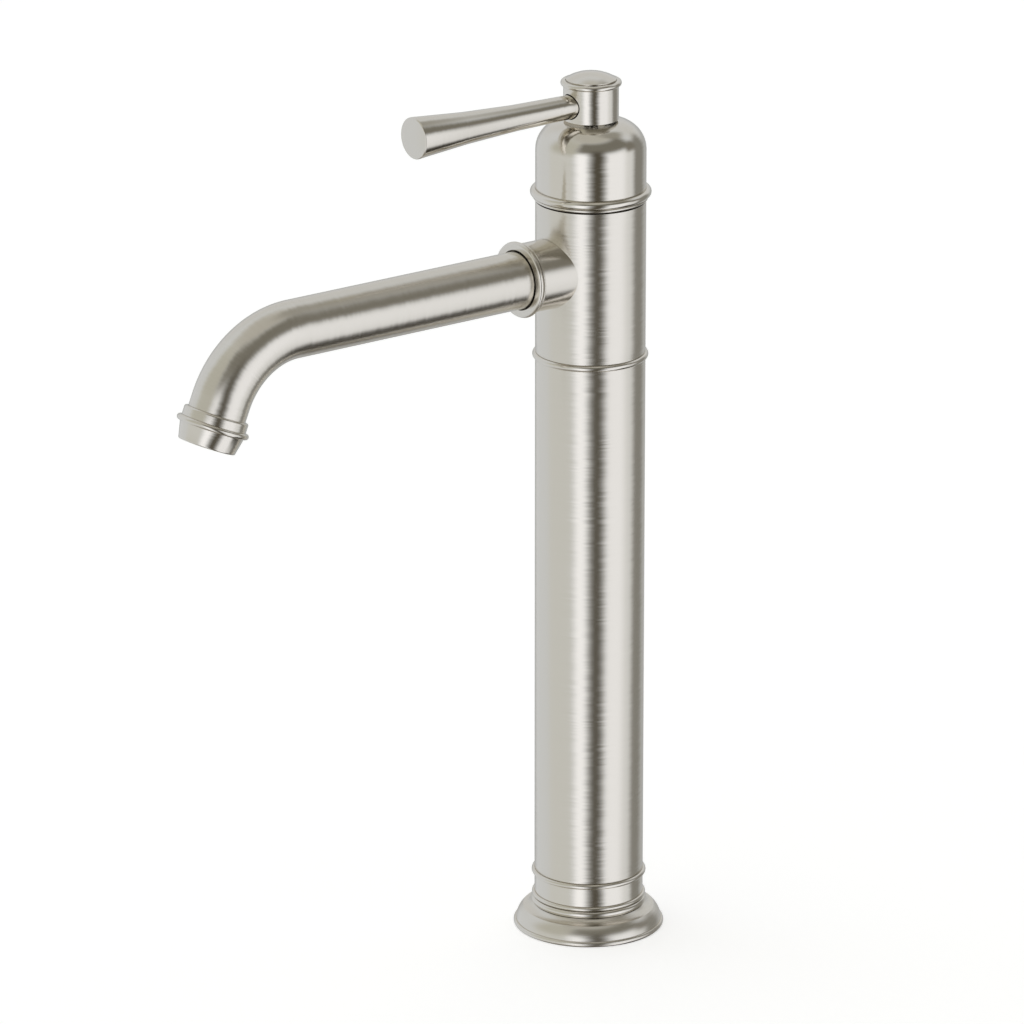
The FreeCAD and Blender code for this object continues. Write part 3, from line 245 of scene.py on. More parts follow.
class FaucetFinish(bpy.types.PropertyGroup):
    """Colours and surfaces of the real materials."""

    nickel: colour("Nickel", "Satin nickel plate beside the strokes", "#E3DED4")
    nickel_strokes: colour("Nickel strokes", "Satin nickel plate in the strokes", "#DFDACF")
    # The next two settings paint shade into narrow corners: the plate's colour there, and how near the
    # walls of such a corner are.
    nickel_painted_shade: colour("Nickel corners", "Plate in narrow corners that the brush misses", "#6E6557")
    painted_shade_reach: length("Corner reach", "How near the walls of such a corner are", 1.2)
    brushing: share("Brushing", "How much more the strokes blur a reflection across them", 0.4)
    broad_stroke: length("Broad stroke", "Width of the strokes on the large forms", 0.6)
    broad_stroke_length: length("Broad stroke length", "Length of these strokes", 24.0)
    fine_stroke: length("Fine stroke", "Width of the strokes on the small forms", 0.5)
    fine_stroke_length: length("Fine stroke length", "Length of these strokes", 14.0)
    satin_lean: share("Satin lean", "Sideways lean of the strokes on the large forms", 0.045)
    satin_roughness: share("Satin roughness", "Roughness of the large forms", 0.23)
    soft_lean: share("Soft lean", "Sideways lean of the strokes on the flange", 0.03)
    soft_roughness: share("Soft roughness", "Roughness of the flange", 0.26)
    fine_lean: share("Fine lean", "Sideways lean of the strokes on the small turned forms", 0.035)
    fine_roughness: share("Fine roughness", "Roughness of the small turned forms", 0.18)
    crisp_lean: share("Crisp lean", "Sideways lean of the strokes on cap, lever and button", 0.035)
    crisp_roughness: share("Crisp roughness", "Roughness of the cap, the lever and the button", 0.13)

    brass: colour("Brass", "Free-cutting brass", "#D3B36B")
    copper: colour("Copper", "Drawn copper", "#CA8560")
    nitrile: colour("Nitrile", "Black nitrile rubber", "#212122")
    acetal: colour("Acetal", "Natural acetal", "#DFDFD7")
    alumina: colour("Alumina", "Alumina ceramic", "#EBE7DE")
    stainless: colour("Stainless", "Stainless steel", "#C2C2BF")


class FaucetStudio(bpy.types.PropertyGroup):
    """Camera, floor and light."""

    azimuth: degrees("Azimuth", "Camera round the faucet, from its front", 52.70)
    elevation: degrees("Elevation", "Camera above the horizon", 18.21)
    distance: FloatProperty(
        name="Distance", description="Camera from the point it looks at", default=3.0, unit="LENGTH"
    )
    lens: FloatProperty(name="Lens", description="Focal length in millimetres", default=279.0)
    aim: FloatVectorProperty(
        name="Aim", description="Point that the camera looks at",
        default=(0.00894, -0.04419, 0.1785), unit="LENGTH",
    )
    floor_radius: FloatProperty(
        name="Floor radius", description="Radius of the floor", default=12.0, unit="LENGTH"
    )
    floor_colour: colour("Floor colour", "Matt paint of the floor", "#F6F6F6")
    floor_glow: share("Floor glow", "White added to the floor for the camera alone", 0.55)
    room_colour: colour("Room colour", "Walls of the studio outside its panels", "#F5F9FF")
    room_level: share("Room level", "Brightness of these walls", 0.79)
    room_azimuth: degrees("Room azimuth", "Turn of the studio's panels", 52.1)


# --- small helpers for modelling ---


def sizes():
    return bpy.context.scene.faucet_sizes


def finishes():
    return bpy.context.scene.faucet_finish


def deselect_all():
    if bpy.context.object and bpy.context.object.mode != "OBJECT":
        bpy.ops.object.mode_set(mode="OBJECT")
    bpy.ops.object.select_all(action="DESELECT")


def select_only(piece):
    deselect_all()
    piece.select_set(True)
    bpy.context.view_layer.objects.active = piece


def arc(start, end, curve, turn, long_way=False):
    """Points of an arc after its start. turn is 1 against the clock and -1 with it."""
    chord = end - start
    rise = math.sqrt(max(curve**2 - chord.length_squared / 4, 0.0))
    side = Vector((-chord.y, chord.x)).normalized() * (-turn if long_way else turn)
    centre = (start + end) / 2 + side * rise
    first = math.atan2(start.y - centre.y, start.x - centre.x)
    last = math.atan2(end.y - centre.y, end.x - centre.x)
    sweep = (last - first) % math.tau if turn > 0 else -((first - last) % math.tau)
    count = max(LEAST_ARC_STEPS, math.ceil(abs(sweep) / ARC_STEP))
    angles = [first + sweep * step / count for step in range(1, count)]
    return [centre + Vector((math.cos(a), math.sin(a))) * curve for a in angles] + [end]


def softened(before, corner, after):
    """A corner between two straight edges as a small round."""
    to_before, to_after = before - corner, after - corner
    cut = min(EDGE_ROUND, EDGE_SHARE * to_before.length, EDGE_SHARE * to_after.length)
    start = corner + to_before.normalized() * cut
    end = corner + to_after.normalized() * cut
    spots = [step / EDGE_STEPS for step in range(EDGE_STEPS + 1)]
    return [start * (1 - s) ** 2 + corner * 2 * s * (1 - s) + end * s**2 for s in spots]


def outline(steps, closed):
    """Points of an outline of (radius, height) corners.

    A corner that goes on with (curve, turn, long_way) is reached by an arc of that radius.
    """
    corners = [Vector((max(step[0], POLE), step[1])) for step in steps]
    count = len(steps)
    points = []
    for index, step in enumerate(steps):
        corner = corners[index]
        following = steps[(index + 1) % count]
        at_end = not closed and index in (0, count - 1)
        if len(step) > 2 and (closed or index > 0):
            points += arc(corners[index - 1], corner, *step[2:])
        elif len(following) > 2 or at_end:
            points.append(corner)
        else:
            points += softened(corners[index - 1], corner, corners[(index + 1) % count])
    return points + points[:1] if closed else points


def turned(name, steps, closed=True, sides=SIDES):
    """Turns an outline about Z: a ring is extruded and resized from point to point."""
    points = outline(steps, closed)
    deselect_all()
    bpy.ops.mesh.primitive_circle_add(vertices=sides, radius=points[0].x, location=(0, 0, points[0].y))
    piece = bpy.context.object
    piece.name = piece.data.name = name
    bpy.ops.object.mode_set(mode="EDIT")
    bpy.ops.mesh.select_all(action="SELECT")
    for old, new in zip(points, points[1:]):
        bpy.ops.mesh.extrude_region_move(TRANSFORM_OT_translate={"value": (0, 0, new.y - old.y)})
        grow = new.x / old.x
        bpy.ops.transform.resize(value=(grow, grow, 1), center_override=(0, 0, new.y))
    close_seams()
    return piece


def close_seams():
    bpy.ops.mesh.select_all(action="SELECT")
    bpy.ops.mesh.remove_doubles(threshold=MERGE)
    bpy.ops.mesh.normals_make_consistent(inside=False)
    bpy.ops.object.mode_set(mode="OBJECT")


def apply_place(piece):
    select_only(piece)
    bpy.ops.object.transform_apply(location=True, rotation=True, scale=True)


def put(piece, place=(0, 0, 0), tilt=0.0):
    """Turns a piece about X, moves it and leaves its object at the origin."""
    piece.rotation_euler = (tilt, 0, 0)
    piece.location = Matrix.Rotation(tilt, 3, "X") @ piece.location + Vector(place)
    apply_place(piece)
    return piece


def carve(piece, tool, operation):
    """Joins the tool to a piece or cuts it out, and removes the tool."""
    select_only(piece)
    bpy.ops.object.modifier_add(type="BOOLEAN")
    cut = piece.modifiers[-1]
    cut.operation = operation
    cut.solver = "EXACT"
    cut.object = tool
    bpy.ops.object.modifier_apply(modifier=cut.name)
    mesh = tool.data
    bpy.data.objects.remove(tool)
    bpy.data.meshes.remove(mesh)


def rod(radius, low, high, sides=SIDES):
    """A closed rod about Z, which carve joins or cuts out."""
    deselect_all()
    bpy.ops.mesh.primitive_cylinder_add(
        vertices=sides, radius=radius, depth=high - low, location=(0, 0, (low + high) / 2)
    )
    return bpy.context.object


def bead_half(proud, section):
    """Half the width of a round bead where it meets its wall."""
    return math.sqrt(section**2 - (proud - section) ** 2)


def bead(wall, proud, section, middle):
    """A round bead on a straight wall, from its lower edge to its upper edge."""
    half = bead_half(proud, section)
    return [(wall, middle - half), (wall, middle + half, section, 1, proud > section)]


def straight_axis(start, direction):
    """How far along a straight axis a point is, and its offset from that axis."""
    direction = Vector(direction).normalized()

    def measure(point, _face):
        offset = point - Vector(start)
        along = offset.dot(direction)
        return along, offset - direction * along, direction

    return measure


def brush(piece, measure):
    """Stores how the piece was brushed: the way round it, and the place across the strokes."""
    mesh = piece.data
    around, grain = [], []
    for face in mesh.polygons:
        for index in face.vertices:
            along, out, direction = measure(mesh.vertices[index].co, face.center)
            way = direction.cross(out) if out.length > MERGE else direction.orthogonal()
            side = Vector((1, 0, 0))
            up = direction.cross(side)
            around += list(way.normalized())
            grain += [along - out.length, out.dot(side), out.dot(up)]
    for name, values in (("around", around), ("grain", grain)):
        mesh.attributes.new(name, "FLOAT_VECTOR", "CORNER").data.foreach_set("vector", values)


def finish(piece, body, cad_node, nickel, measure):
    """Smooths a piece, gives it its brushed finish and lets it stand for its node.

    It is brushed in its own coordinates: on an upright piece, heights start at its first ring.
    After that its place goes into its mesh, and its object sits at the origin.
    """
    select_only(piece)
    bpy.ops.object.shade_smooth_by_angle(angle=SHARP)
    piece.data.materials.clear()
    piece.data.materials.append(nickel())
    brush(piece, measure)
    apply_place(piece)
    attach(piece, body)
    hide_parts(cad_node)
    return {"FINISHED"}


UPRIGHT = straight_axis((0, 0, 0), (0, 0, 1))
ALONG_SPOUT = straight_axis((0, 0, SPOUT_AXIS), (0, -1, 0))
ALONG_LEVER = straight_axis((0, 0, LEVER_AXIS), (0, -1, 0))


# --- finishes ---

# Sockets of a Mix node for colours: its two inputs and its output.
COLOUR_A, COLOUR_B, MIXED = 6, 7, 2

# The gloss changes by GLOSS_CHANGE between these two values of the strokes' noise.
STROKE_SPAN = (0.3, 0.7)
GLOSS_CHANGE = 0.01

# Shade is painted into a corner: darkest where this share of its surroundings is open,
# and gone at the second.
PAINTED_SHADE_SPAN = (0.1, 0.6)
PAINTED_SHADE_SAMPLES = 4

QUARTER_TURN = 0.25
GRAIN_DEPTH = 0.02 * MM
GRAIN_RELIEF = 0.4


def feed(tree, made, inputs):
    """Links each input of a node that is given a socket, and sets the others."""
    for name, value in inputs.items():
        if isinstance(value, bpy.types.NodeSocket):
            tree.links.new(value, made.inputs[name])
        else:
            made.inputs[name].default_value = value


def node(tree, kind, inputs=None, **settings):
    """Adds a node with its settings and inputs."""
    made = tree.nodes.new(kind)
    for name, value in settings.items():
        setattr(made, name, value)
    feed(tree, made, inputs or {})
    return made


def finish_material(name):
    """A new material with its tree and its Principled shader, or None if it is there already."""
    if name in bpy.data.materials:
        return bpy.data.materials[name], None, None
    material = bpy.data.materials.new(name)
    material.use_nodes = True
    tree = material.node_tree
    return material, tree, tree.nodes["Principled BSDF"]


def brushed_nickel(sheen, stroke):
    """Satin nickel plate, brushed round each turned form.

    The strokes blur reflections more along a form than round it, and each leans a little to one
    side, so the edges of reflections break up into short steps. Real strokes are too fine to show
    in the render, so these are drawn broader. Shade is painted into the narrow corners beside
    beads and lips: their colour is darker where little of the surroundings is open.
    """
    material, tree, shader = finish_material(f"{sheen}_brushed_nickel")
    if tree is None:
        return material
    f = finishes()
    width, run = getattr(f, f"{stroke}_stroke"), getattr(f, f"{stroke}_stroke_length")
    lean, roughness = getattr(f, f"{sheen}_lean"), getattr(f, f"{sheen}_roughness")
    around = node(tree, "ShaderNodeAttribute", attribute_name="around")
    grain = node(tree, "ShaderNodeAttribute", attribute_name="grain")
    way = node(tree, "ShaderNodeVectorTransform", {"Vector": around.outputs["Vector"]},
               vector_type="VECTOR", convert_from="OBJECT", convert_to="WORLD").outputs["Vector"]
    stretch = node(tree, "ShaderNodeVectorMath", {
        0: grain.outputs["Vector"], 1: (1 / width, 1 / run, 1 / run),
    }, operation="MULTIPLY")
    strokes = node(tree, "ShaderNodeTexNoise", {
        "Vector": stretch.outputs[0], "Scale": 1.0, "Detail": 1.0, "Roughness": 0.5,
    }).outputs["Fac"]
    leaning = node(tree, "ShaderNodeMapRange", {"Value": strokes, "To Min": -lean, "To Max": lean})
    sideways = node(tree, "ShaderNodeVectorMath", {
        0: way, "Scale": leaning.outputs["Result"],
    }, operation="SCALE")
    face = node(tree, "ShaderNodeNewGeometry")
    leaned = node(tree, "ShaderNodeVectorMath", {
        0: face.outputs["Normal"], 1: sideways.outputs["Vector"],
    }, operation="ADD")
    normal = node(tree, "ShaderNodeVectorMath", {0: leaned.outputs[0]}, operation="NORMALIZE")
    satin = node(tree, "ShaderNodeMapRange", {
        "Value": strokes, "From Min": STROKE_SPAN[0], "From Max": STROKE_SPAN[1],
        "To Min": roughness - GLOSS_CHANGE, "To Max": roughness + GLOSS_CHANGE,
    })
    tone = node(tree, "ShaderNodeMix", {
        0: strokes, COLOUR_A: f.nickel_strokes, COLOUR_B: f.nickel,
    }, data_type="RGBA")
    # Painted shade: the colour darkens in narrow corners, where little of the surroundings is open.
    corner = node(tree, "ShaderNodeAmbientOcclusion", {"Distance": f.painted_shade_reach},
                  samples=PAINTED_SHADE_SAMPLES)
    unshaded = node(tree, "ShaderNodeMapRange", {
        "Value": corner.outputs["AO"], "From Min": PAINTED_SHADE_SPAN[0], "From Max": PAINTED_SHADE_SPAN[1],
    }, interpolation_type="SMOOTHSTEP")
    plate = node(tree, "ShaderNodeMix", {
        0: unshaded.outputs["Result"], COLOUR_A: f.nickel_painted_shade, COLOUR_B: tone.outputs[MIXED],
    }, data_type="RGBA")
    feed(tree, shader, {
        "Base Color": plate.outputs[MIXED], "Metallic": 1.0, "Roughness": satin.outputs["Result"],
        "Normal": normal.outputs[0], "Tangent": way,
        "Anisotropic": f.brushing, "Anisotropic Rotation": QUARTER_TURN,
    })
    return material


def satin_brushed_nickel():
    """The large forms: broad strokes on a satin sheen."""
    return brushed_nickel("satin", "broad")


def soft_brushed_nickel():
    """The flange: broad strokes that lean least, on the softest sheen."""
    return brushed_nickel("soft", "broad")


def fine_brushed_nickel():
    """The small turned forms: finer strokes and a clearer sheen."""
    return brushed_nickel("fine", "fine")


def crisp_brushed_nickel():
    """The cap, the lever and the button: broad strokes and a crisp sheen."""
    return brushed_nickel("crisp", "broad")


def speckled(name, base, spread, grain_size, roughness, metallic=0.0):
    """A fine-grained surface: its colour and its gloss vary a little at the size of its grain."""
    material, tree, shader = finish_material(name)
    if tree is None:
        return material
    place = node(tree, "ShaderNodeTexCoord")
    grain = node(tree, "ShaderNodeTexNoise", {
        "Vector": place.outputs["Object"], "Scale": 1 / grain_size, "Detail": 3.0, "Roughness": 0.55,
    }).outputs["Fac"]
    dark, light = (
        [channel * change for channel in base[:3]] + [1.0] for change in (1 - spread, 1 + spread)
    )
    gloss = node(tree, "ShaderNodeMapRange", {
        "Value": grain, "To Min": roughness[0], "To Max": roughness[1],
    })
    relief = node(tree, "ShaderNodeBump", {
        "Height": grain, "Distance": GRAIN_DEPTH, "Strength": GRAIN_RELIEF,
    })
    tone = node(tree, "ShaderNodeMix", {0: grain, COLOUR_A: dark, COLOUR_B: light}, data_type="RGBA")
    feed(tree, shader, {
        "Base Color": tone.outputs[MIXED], "Metallic": metallic,
        "Roughness": gloss.outputs["Result"], "Normal": relief.outputs["Normal"],
    })
    return material


def turned_brass():
    """Free-cutting brass as it leaves the lathe: yellow, with a soft sheen."""
    return speckled("turned_brass", finishes().brass, spread=0.12, grain_size=0.8 * MM,
                    roughness=(0.25, 0.4), metallic=1.0)


def drawn_copper():
    """Soft drawn copper tube: red-brown and fairly smooth."""
    return speckled("drawn_copper", finishes().copper, spread=0.12, grain_size=1.2 * MM,
                    roughness=(0.2, 0.35), metallic=1.0)


def moulded_nitrile():
    """Moulded nitrile rubber: near black and matt."""
    return speckled("moulded_nitrile", finishes().nitrile, spread=0.25, grain_size=0.3 * MM,
                    roughness=(0.6, 0.8))


def moulded_acetal():
    """Moulded acetal: milky white with a waxy gloss."""
    return speckled("moulded_acetal", finishes().acetal, spread=0.06, grain_size=0.6 * MM,
                    roughness=(0.35, 0.5))


def lapped_alumina():
    """Lapped alumina ceramic: ivory, dense and glossy."""
    return speckled("lapped_alumina", finishes().alumina, spread=0.05, grain_size=0.4 * MM,
                    roughness=(0.12, 0.2))


def turned_stainless():
    """Turned stainless steel: neutral grey with a fine sheen."""
    return speckled("turned_stainless", finishes().stainless, spread=0.08, grain_size=0.5 * MM,
                    roughness=(0.25, 0.38), metallic=1.0)


# What each material slot of the frame is finished with.
FINISHES = {
    "brushed_nickel": satin_brushed_nickel,
    "brass": turned_brass,
    "copper": drawn_copper,
    "rubber": moulded_nitrile,
    "acetal": moulded_acetal,
    "ceramic": lapped_alumina,
    "stainless_steel": turned_stainless,
}


# --- base ---


def block_bore():
    """Radius of the bore under the lip of the inlet block."""
    return BLOCK_HIGH.x - sizes().block_lip + sizes().fit


def spigot_radius():
    """Radius of a spigot inside the column tube."""
    return WALL - sizes().tube_wall - sizes().fit


class FAUCET_OT_base_flange(bpy.types.Operator):
    """Spun flange with a round rim, a convex shoulder and a cove"""

    bl_idname = "faucet.base_flange"
    bl_label = "Base Flange"

    def execute(self, context):
        s = sizes()
        rim = FLANGE_HIGH.x - (s.rim_round - math.sqrt(s.rim_round**2 - s.rim_height**2 / 4))
        shoulder = rim - s.rim_step - s.shoulder_width
        shoulder_top = s.rim_height + s.shoulder_rise
        bore = block_bore()
        piece = turned("base_flange_spun", [
            (bore, 0),
            (s.seal_inner, 0),
            (s.seal_inner, s.seal_depth),
            (s.seal_outer, s.seal_depth),
            (s.seal_outer, 0),
            (rim, 0),
            (rim, s.rim_height, s.rim_round, 1),
            (rim - s.rim_step, s.rim_height),
            (shoulder, shoulder_top, s.shoulder_curve, 1),
            (shoulder - s.cove_width, FLANGE_HIGH.z, s.cove_curve, -1),
            (bore, FLANGE_HIGH.z),
        ])
        return finish(piece, "stand", "base_flange", soft_brushed_nickel, UPRIGHT)


class FAUCET_OT_base_collar(bpy.types.Operator):
    """Turned collar with three round rings and a plain band"""

    bl_idname = "faucet.base_collar"
    bl_label = "Base Collar"

    def execute(self, context):
        s = sizes()
        low = COLLAR_LOW.z + s.low_ring
        pair = low + s.low_ring + s.pair_ring
        top = pair + s.pair_ring + s.collar_band + s.top_ring
        spigot = spigot_radius()
        bore = block_bore()
        lip_seat = BLOCK_HIGH.z - s.block_lip_height
        piece = turned("base_collar_turned", [
            (bore, COLLAR_LOW.z),
            (WALL, COLLAR_LOW.z),
            *bead(WALL, s.low_ring_proud, s.low_ring, low),
            *bead(WALL, s.pair_ring_proud, s.pair_ring, pair),
            *bead(WALL, s.top_ring_proud, s.top_ring, top),
            (spigot, COLUMN_LOW.z),
            (spigot, COLLAR_HIGH.z),
            (spigot - s.spigot_wall, COLLAR_HIGH.z),
            (spigot - s.spigot_wall, lip_seat),
            (bore, lip_seat),
        ])
        return finish(piece, "stand", "base_collar", fine_brushed_nickel, UPRIGHT)


# --- column ---


class FAUCET_OT_column(bpy.types.Operator):
    """Plain drawn tube of the column"""

    bl_idname = "faucet.column"
    bl_label = "Column Tube"

    def execute(self, context):
        s = sizes()
        bore = WALL - s.tube_wall
        piece = turned("column_tube_drawn", [
            (bore, COLUMN_LOW.z),
            (WALL, COLUMN_LOW.z),
            (WALL, COLUMN_HIGH.z),
            (bore, COLUMN_HIGH.z),
        ])
        return finish(piece, "stand", "column_tube", satin_brushed_nickel, UPRIGHT)


class FAUCET_OT_mid_ring(bpy.types.Operator):
    """Round ring between the column and the upper body"""

    bl_idname = "faucet.mid_ring"
    bl_label = "Ring"

    def execute(self, context):
        s = sizes()
        bore = WALL - s.tube_wall
        middle = (RING_LOW.z + RING_HIGH.z) / 2
        piece = turned("mid_ring_turned", [
            *bead(WALL, RING_HIGH.x - WALL, s.mid_ring, middle),
            (bore, RING_HIGH.z),
            (bore, RING_LOW.z),
        ])
        return finish(piece, "stand", "mid_ring", fine_brushed_nickel, UPRIGHT)


def on_socket(face):
    """Whether a face of the upper body lies outside its wall, on the socket."""
    return math.hypot(face.x, face.y) > WALL + OFF_WALL


def body_axis(point, face):
    """The upper body is brushed round the column, and its socket from side to side.

    The body's own heights start at its lower end, so the spout's axis lies far above the socket.
    """
    return (ALONG_SPOUT if on_socket(face) else UPRIGHT)(point, face)


class FAUCET_OT_upper_body(bpy.types.Operator):
    """Upper body with the socket of the spout"""

    bl_idname = "faucet.upper_body"
    bl_label = "Upper Body"

    def execute(self, context):
        s = sizes()
        seam = BODY_HIGH.z - s.neck_height
        spigot = spigot_radius()
        seat_floor = BODY_HIGH.z - s.seat_depth
        rise = seam - RING_HIGH.z
        rings = [(WALL, RING_HIGH.z + rise * step / BODY_BANDS) for step in range(1, BODY_BANDS)]
        piece = turned("upper_body_machined", [
            (0, BODY_LOW.z),
            (spigot, BODY_LOW.z),
            (spigot, RING_HIGH.z),
            (WALL, RING_HIGH.z),
            *rings,
            (WALL, seam),
            (WALL - s.neck_inset, seam),
            (WALL - s.neck_inset, BODY_HIGH.z),
            (s.seat_radius, BODY_HIGH.z),
            (s.seat_radius, seat_floor),
            (0, seat_floor),
        ], closed=False, sides=SIDES * 2)
        socket = rod(s.socket_radius, 0, -BODY_LOW.y)
        carve(piece, put(socket, (0, 0, SPOUT_AXIS), FORWARD), "UNION")
        bore = rod(s.spout_radius + s.fit, s.seat_radius + s.spout_entry, WALL * 2)
        carve(piece, put(bore, (0, 0, SPOUT_AXIS), FORWARD), "DIFFERENCE")
        finish(piece, "stand", "upper_body", satin_brushed_nickel, body_axis)
        piece.data.materials.append(fine_brushed_nickel())
        for face in piece.data.polygons:
            face.material_index = int(on_socket(face.center))
        return {"FINISHED"}


# --- spout ---


class FAUCET_OT_trim_collar(bpy.types.Operator):
    """Beaded collar on the end of the socket"""

    bl_idname = "faucet.trim_collar"
    bl_label = "Trim Collar"

    def execute(self, context):
        s = sizes()
        back, front = -TRIM_HIGH.y, -TRIM_LOW.y
        bore = s.spout_radius + s.trim_gap
        line = s.socket_radius + s.trim_line_proud - s.trim_line
        line_end = back + 2 * s.trim_line
        floor = s.socket_radius + s.fit
        face = TRIM_HIGH.x - s.trim_bead
        piece = turned("trim_collar_turned", [
            (bore, back),
            (line, back),
            (line, line_end, s.trim_line, 1),
            (floor, line_end),
            (floor, line_end + s.trim_groove),
            (face, line_end + s.trim_groove),
            (face, front, s.trim_bead, 1),
            (bore, front),
        ])
        put(piece, (0, 0, SPOUT_AXIS), FORWARD)
        return finish(piece, "stand", "trim_collar", fine_brushed_nickel, ALONG_SPOUT)


def spout_axis(point, face):
    """Where a point lies along the bent axis of the spout, and its offset from it."""
    s = sizes()
    hinge = Vector((0, -s.spout_straight, SPOUT_AXIS - s.spout_bend))
    if point.y > hinge.y:
        return ALONG_SPOUT(point, face)
    arm = Vector((0, point.y - hinge.y, point.z - hinge.z))
    angle = min(math.atan2(-arm.y, arm.z), s.spout_turn)
    out = Vector((0, -math.sin(angle), math.cos(angle)))
    direction = Vector((0, -math.cos(angle), -math.sin(angle)))
    centre = hinge + out * s.spout_bend
    rest = point - centre
    extra = rest.dot(direction)
    along = s.spout_straight + s.spout_bend * angle + extra
    return along, rest - direction * extra, direction


class FAUCET_OT_spout_tube(bpy.types.Operator):
    """Bent tube: a straight run, one bend and a short tail inside the nozzle"""

    bl_idname = "faucet.spout_tube"
    bl_label = "Spout Tube"

    def execute(self, context):
        s = sizes()
        deselect_all()
        bpy.ops.mesh.primitive_circle_add(
            vertices=SIDES, radius=s.spout_radius, location=(0, SPOUT_HIGH.y, SPOUT_AXIS),
            rotation=(FORWARD, 0, 0),
        )
        piece = bpy.context.object
        piece.name = piece.data.name = "spout_tube_bent"
        apply_place(piece)
        bpy.ops.object.mode_set(mode="EDIT")
        bpy.ops.mesh.select_all(action="SELECT")
        run = s.spout_straight + SPOUT_HIGH.y
        bpy.ops.mesh.extrude_region_move(TRANSFORM_OT_translate={"value": (0, -run, 0)})
        hinge = (0, -s.spout_straight, SPOUT_AXIS - s.spout_bend)
        bpy.ops.mesh.spin(steps=BEND_STEPS, angle=s.spout_turn, center=hinge, axis=(-1, 0, 0))
        tail = (0, -math.cos(s.spout_turn) * s.spout_tail, -math.sin(s.spout_turn) * s.spout_tail)
        bpy.ops.mesh.extrude_region_move(TRANSFORM_OT_translate={"value": tail})
        close_seams()
        bpy.ops.object.modifier_add(type="SOLIDIFY")
        wall = piece.modifiers[-1]
        wall.thickness = s.spout_wall
        wall.offset = -1
        bpy.ops.object.modifier_apply(modifier=wall.name)
        return finish(piece, "stand", "spout_tube", satin_brushed_nickel, spout_axis)


def nozzle_place():
    """Start and direction of the nozzle's axis."""
    s = sizes()
    start = (0, -s.spout_straight - s.spout_bend * math.sin(s.spout_turn),
             SPOUT_AXIS - s.spout_bend * (1 - math.cos(s.spout_turn)))
    return start, (0, -math.cos(s.spout_turn), -math.sin(s.spout_turn))


class FAUCET_OT_nozzle(bpy.types.Operator):
    """Nozzle with a rounded lip, a bead and a tapered skirt"""

    bl_idname = "faucet.nozzle"
    bl_label = "Nozzle"

    def execute(self, context):
        s = sizes()
        start, direction = nozzle_place()
        bore = s.spout_radius + s.fit
        middle = s.nozzle_band + s.nozzle_bead_proud - s.nozzle_bead
        half = bead_half(s.nozzle_bead_proud, s.nozzle_bead)
        under = s.nozzle_bead_along + s.nozzle_bead
        ledge = s.outlet_along - s.outlet_lip_height
        piece = turned("nozzle_turned", [
            (bore, s.nozzle_start),
            (s.nozzle_band - s.nozzle_lip, s.nozzle_start),
            (s.nozzle_band, s.nozzle_start + s.nozzle_lip, s.nozzle_lip, 1),
            (s.nozzle_band, s.nozzle_bead_along - half),
            (middle, under, s.nozzle_bead, 1, True),
            (s.skirt_radius, under),
            (s.outlet_radius, s.outlet_along - s.outlet_round),
            (s.outlet_radius - s.outlet_round, s.outlet_along, s.outlet_round, 1),
            (s.outlet_lip, s.outlet_along),
            (s.outlet_lip, ledge),
            (s.aerator_bore, ledge),
            (s.aerator_bore, s.spout_tail),
            (bore, s.spout_tail),
        ])
        put(piece, start, FORWARD + s.spout_turn)
        return finish(piece, "stand", "nozzle", fine_brushed_nickel, straight_axis(start, direction))


# --- cap, hub and lever ---


class FAUCET_OT_turning_cap(bpy.types.Operator):
    """Domed cap with two beads over the running gap, and a slot for the stem"""

    bl_idname = "faucet.turning_cap"
    bl_label = "Turning Cap"

    def execute(self, context):
        s = sizes()
        low, high = CAP_LOW.z, CAP_HIGH.z
        line = low + s.cap_ledge + s.cap_line
        large = line + s.cap_line + s.cap_bead
        flat = WALL - s.cap_corner
        inner = WALL - s.cap_wall
        upper_inner = inner - s.cap_step
        underside = high - s.cap_crown
        inner_corner = upper_inner - flat
        piece = turned("turning_cap_spun", [
            (inner, low),
            (WALL, low),
            *bead(WALL, s.cap_line_proud, s.cap_line, line),
            *bead(WALL, s.cap_bead_proud, s.cap_bead, large),
            (WALL, high - s.cap_corner),
            (flat, high, s.cap_corner, 1),
            (POLE, high),
            (POLE, underside),
            (flat, underside),
            (upper_inner, underside - inner_corner, inner_corner, -1),
            (upper_inner, low + s.cap_step_rise),
            (inner, low + s.cap_step_rise),
        ])
        deselect_all()
        slot_middle = (0, (s.stem_slot_back - s.stem_slot) / 2, high)
        bpy.ops.mesh.primitive_cube_add(size=1, location=slot_middle)
        slot = bpy.context.object
        slot.scale = (2 * s.stem_slot, s.stem_slot_back + s.stem_slot, 4 * s.cap_crown)
        apply_place(slot)
        carve(piece, slot, "DIFFERENCE")
        return finish(piece, "cap", "turning_cap", crisp_brushed_nickel, UPRIGHT)


